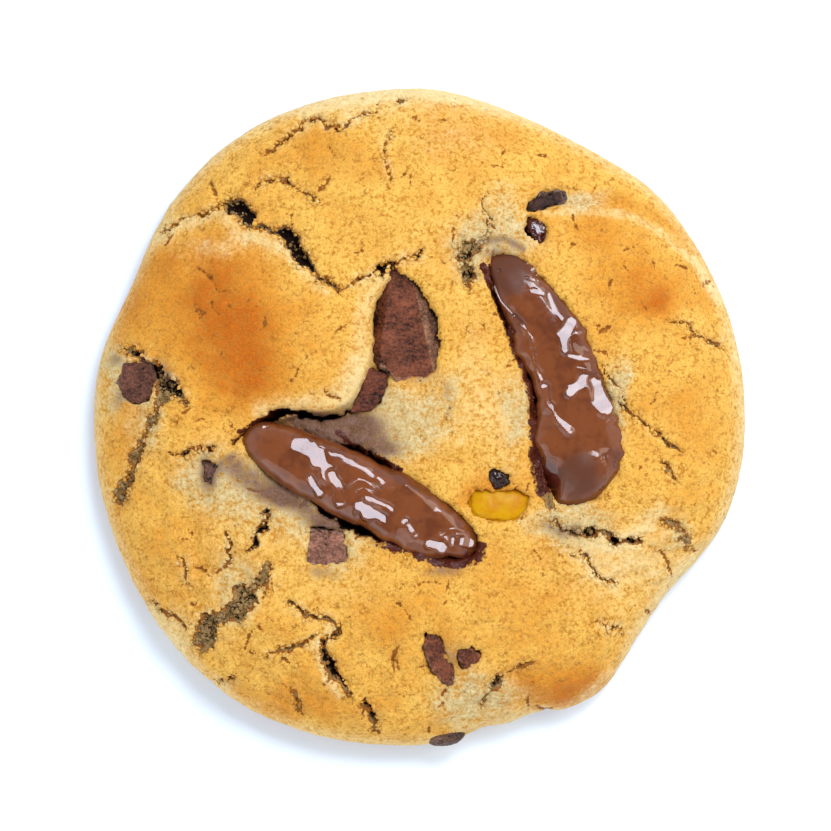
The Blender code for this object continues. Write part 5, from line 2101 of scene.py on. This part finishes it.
    def upper_chips(self) -> list[Chunk]:
        """The two chips at the upper right, and the hidden one left of the left stick."""
        return [
            Chunk("chip_top", DullFinish("top_chip_chocolate", (74, 46, 38), (150, 126, 110)),
                  ((15.8, 32.0), (17.6, 33.6), (21.8, 33.8), (21.6, 32.0), (18.8, 30.7), (16.2, 30.6)),
                  thickness=3.4, sink=0.5, seed=561, sharpness=10.0, flatness=5.0, rough=0.34, tuck=0.05,
                  cover=mounds((22.4, 33.0, 1.6, 1.2, 1.4))),
            Chunk("chip_top_glossy", MeltedFinish("glossy_chip", self.dark, self.black),
                  ((15.9, 29.9), (18.2, 29.8), (19.6, 28.1), (17.9, 25.5), (16.0, 27.8)),
                  thickness=3.2, sink=0.3, seed=571, sharpness=9.0, flatness=3.5, rough=0.20, tuck=0.05),
            Chunk("chip_hidden", DullFinish("hidden_chip_chocolate", (124, 88, 74)),
                  ((-32.6, -5.9), (-29.9, -6.3), (-29.6, -9.8), (-31.0, -11.7), (-32.9, -10.2)),
                  thickness=3.2, sink=0.6, seed=581, sharpness=9.0, flatness=4.0, rough=0.30, tuck=0.3,
                  cover=mounds((-30.0, -10.0, 1.6, 2.4, 1.5))),
        ]

    def melted_bits(self) -> list[Chunk]:
        """The near-black droplet and the caramel below it."""
        return [
            Chunk("droplet", MeltedFinish("droplet_chocolate", self.black, self.black),
                  ((9.9, -8.4), (11.0, -7.7), (13.6, -8.4), (13.2, -10.2), (11.2, -10.8), (10.2, -9.8)),
                  thickness=2.2, sink=-0.4, seed=591, sharpness=7.0, flatness=2.5, rough=0.24, tuck=0.0),
            Chunk("caramel", CaramelFinish(),
                  ((6.8, -12.0), (8.6, -10.0), (12.6, -9.8), (16.6, -10.8), (17.0, -13.4), (14.5, -15.7),
                   (10.4, -15.9), (7.4, -14.8)),
                  thickness=4.2, sink=0.05, seed=601, sharpness=7.0, flatness=3.0, rough=0.10, tuck=0.2,
                  rise=(0.0, -0.20), cover=mounds((11.4, -8.8, 5.0, 2.0, 3.4))),
        ]

    def build(self) -> None:
        """Builds the dough with a seat for each piece, then the pieces, and reports each."""
        seated = [*self.sticks(), *self.slab(), *self.lower_chips(), *self.upper_chips(),
                  *self.melted_bits()]
        edge = WallChip("chip_edge", DullFinish("edge_chocolate", (98, 74, 60)), -85.4, 47.1, 5.3,
                        (6.2, 4.4, 5.2))
        finish = DoughFinish()
        parts = self.dough.build([part.seat() for part in seated], finish)
        made = [(piece, "dough", finish.slot) for piece in parts]
        made += [(part.build(self.dough), part.node, part.finish.slot) for part in (*seated, edge)]
        for piece, node, slot in made:
            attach(piece, "root")
            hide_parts(node)
            LOG.info("%s: %d faces for %s", piece.name, len(piece.data.polygons), node)


def corners(box: tuple) -> list[list[float]]:
    """A box's two corners as plain lists."""
    return [[float(value) for value in corner] for corner in box]


def main() -> None:
    """Builds the studio and the cookie."""
    logging.basicConfig(level=logging.INFO, format="%(name)s %(message)s")
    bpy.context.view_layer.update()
    Studio().build()
    Cookie(Dough()).build()


if __name__ == "__main__":
    main()
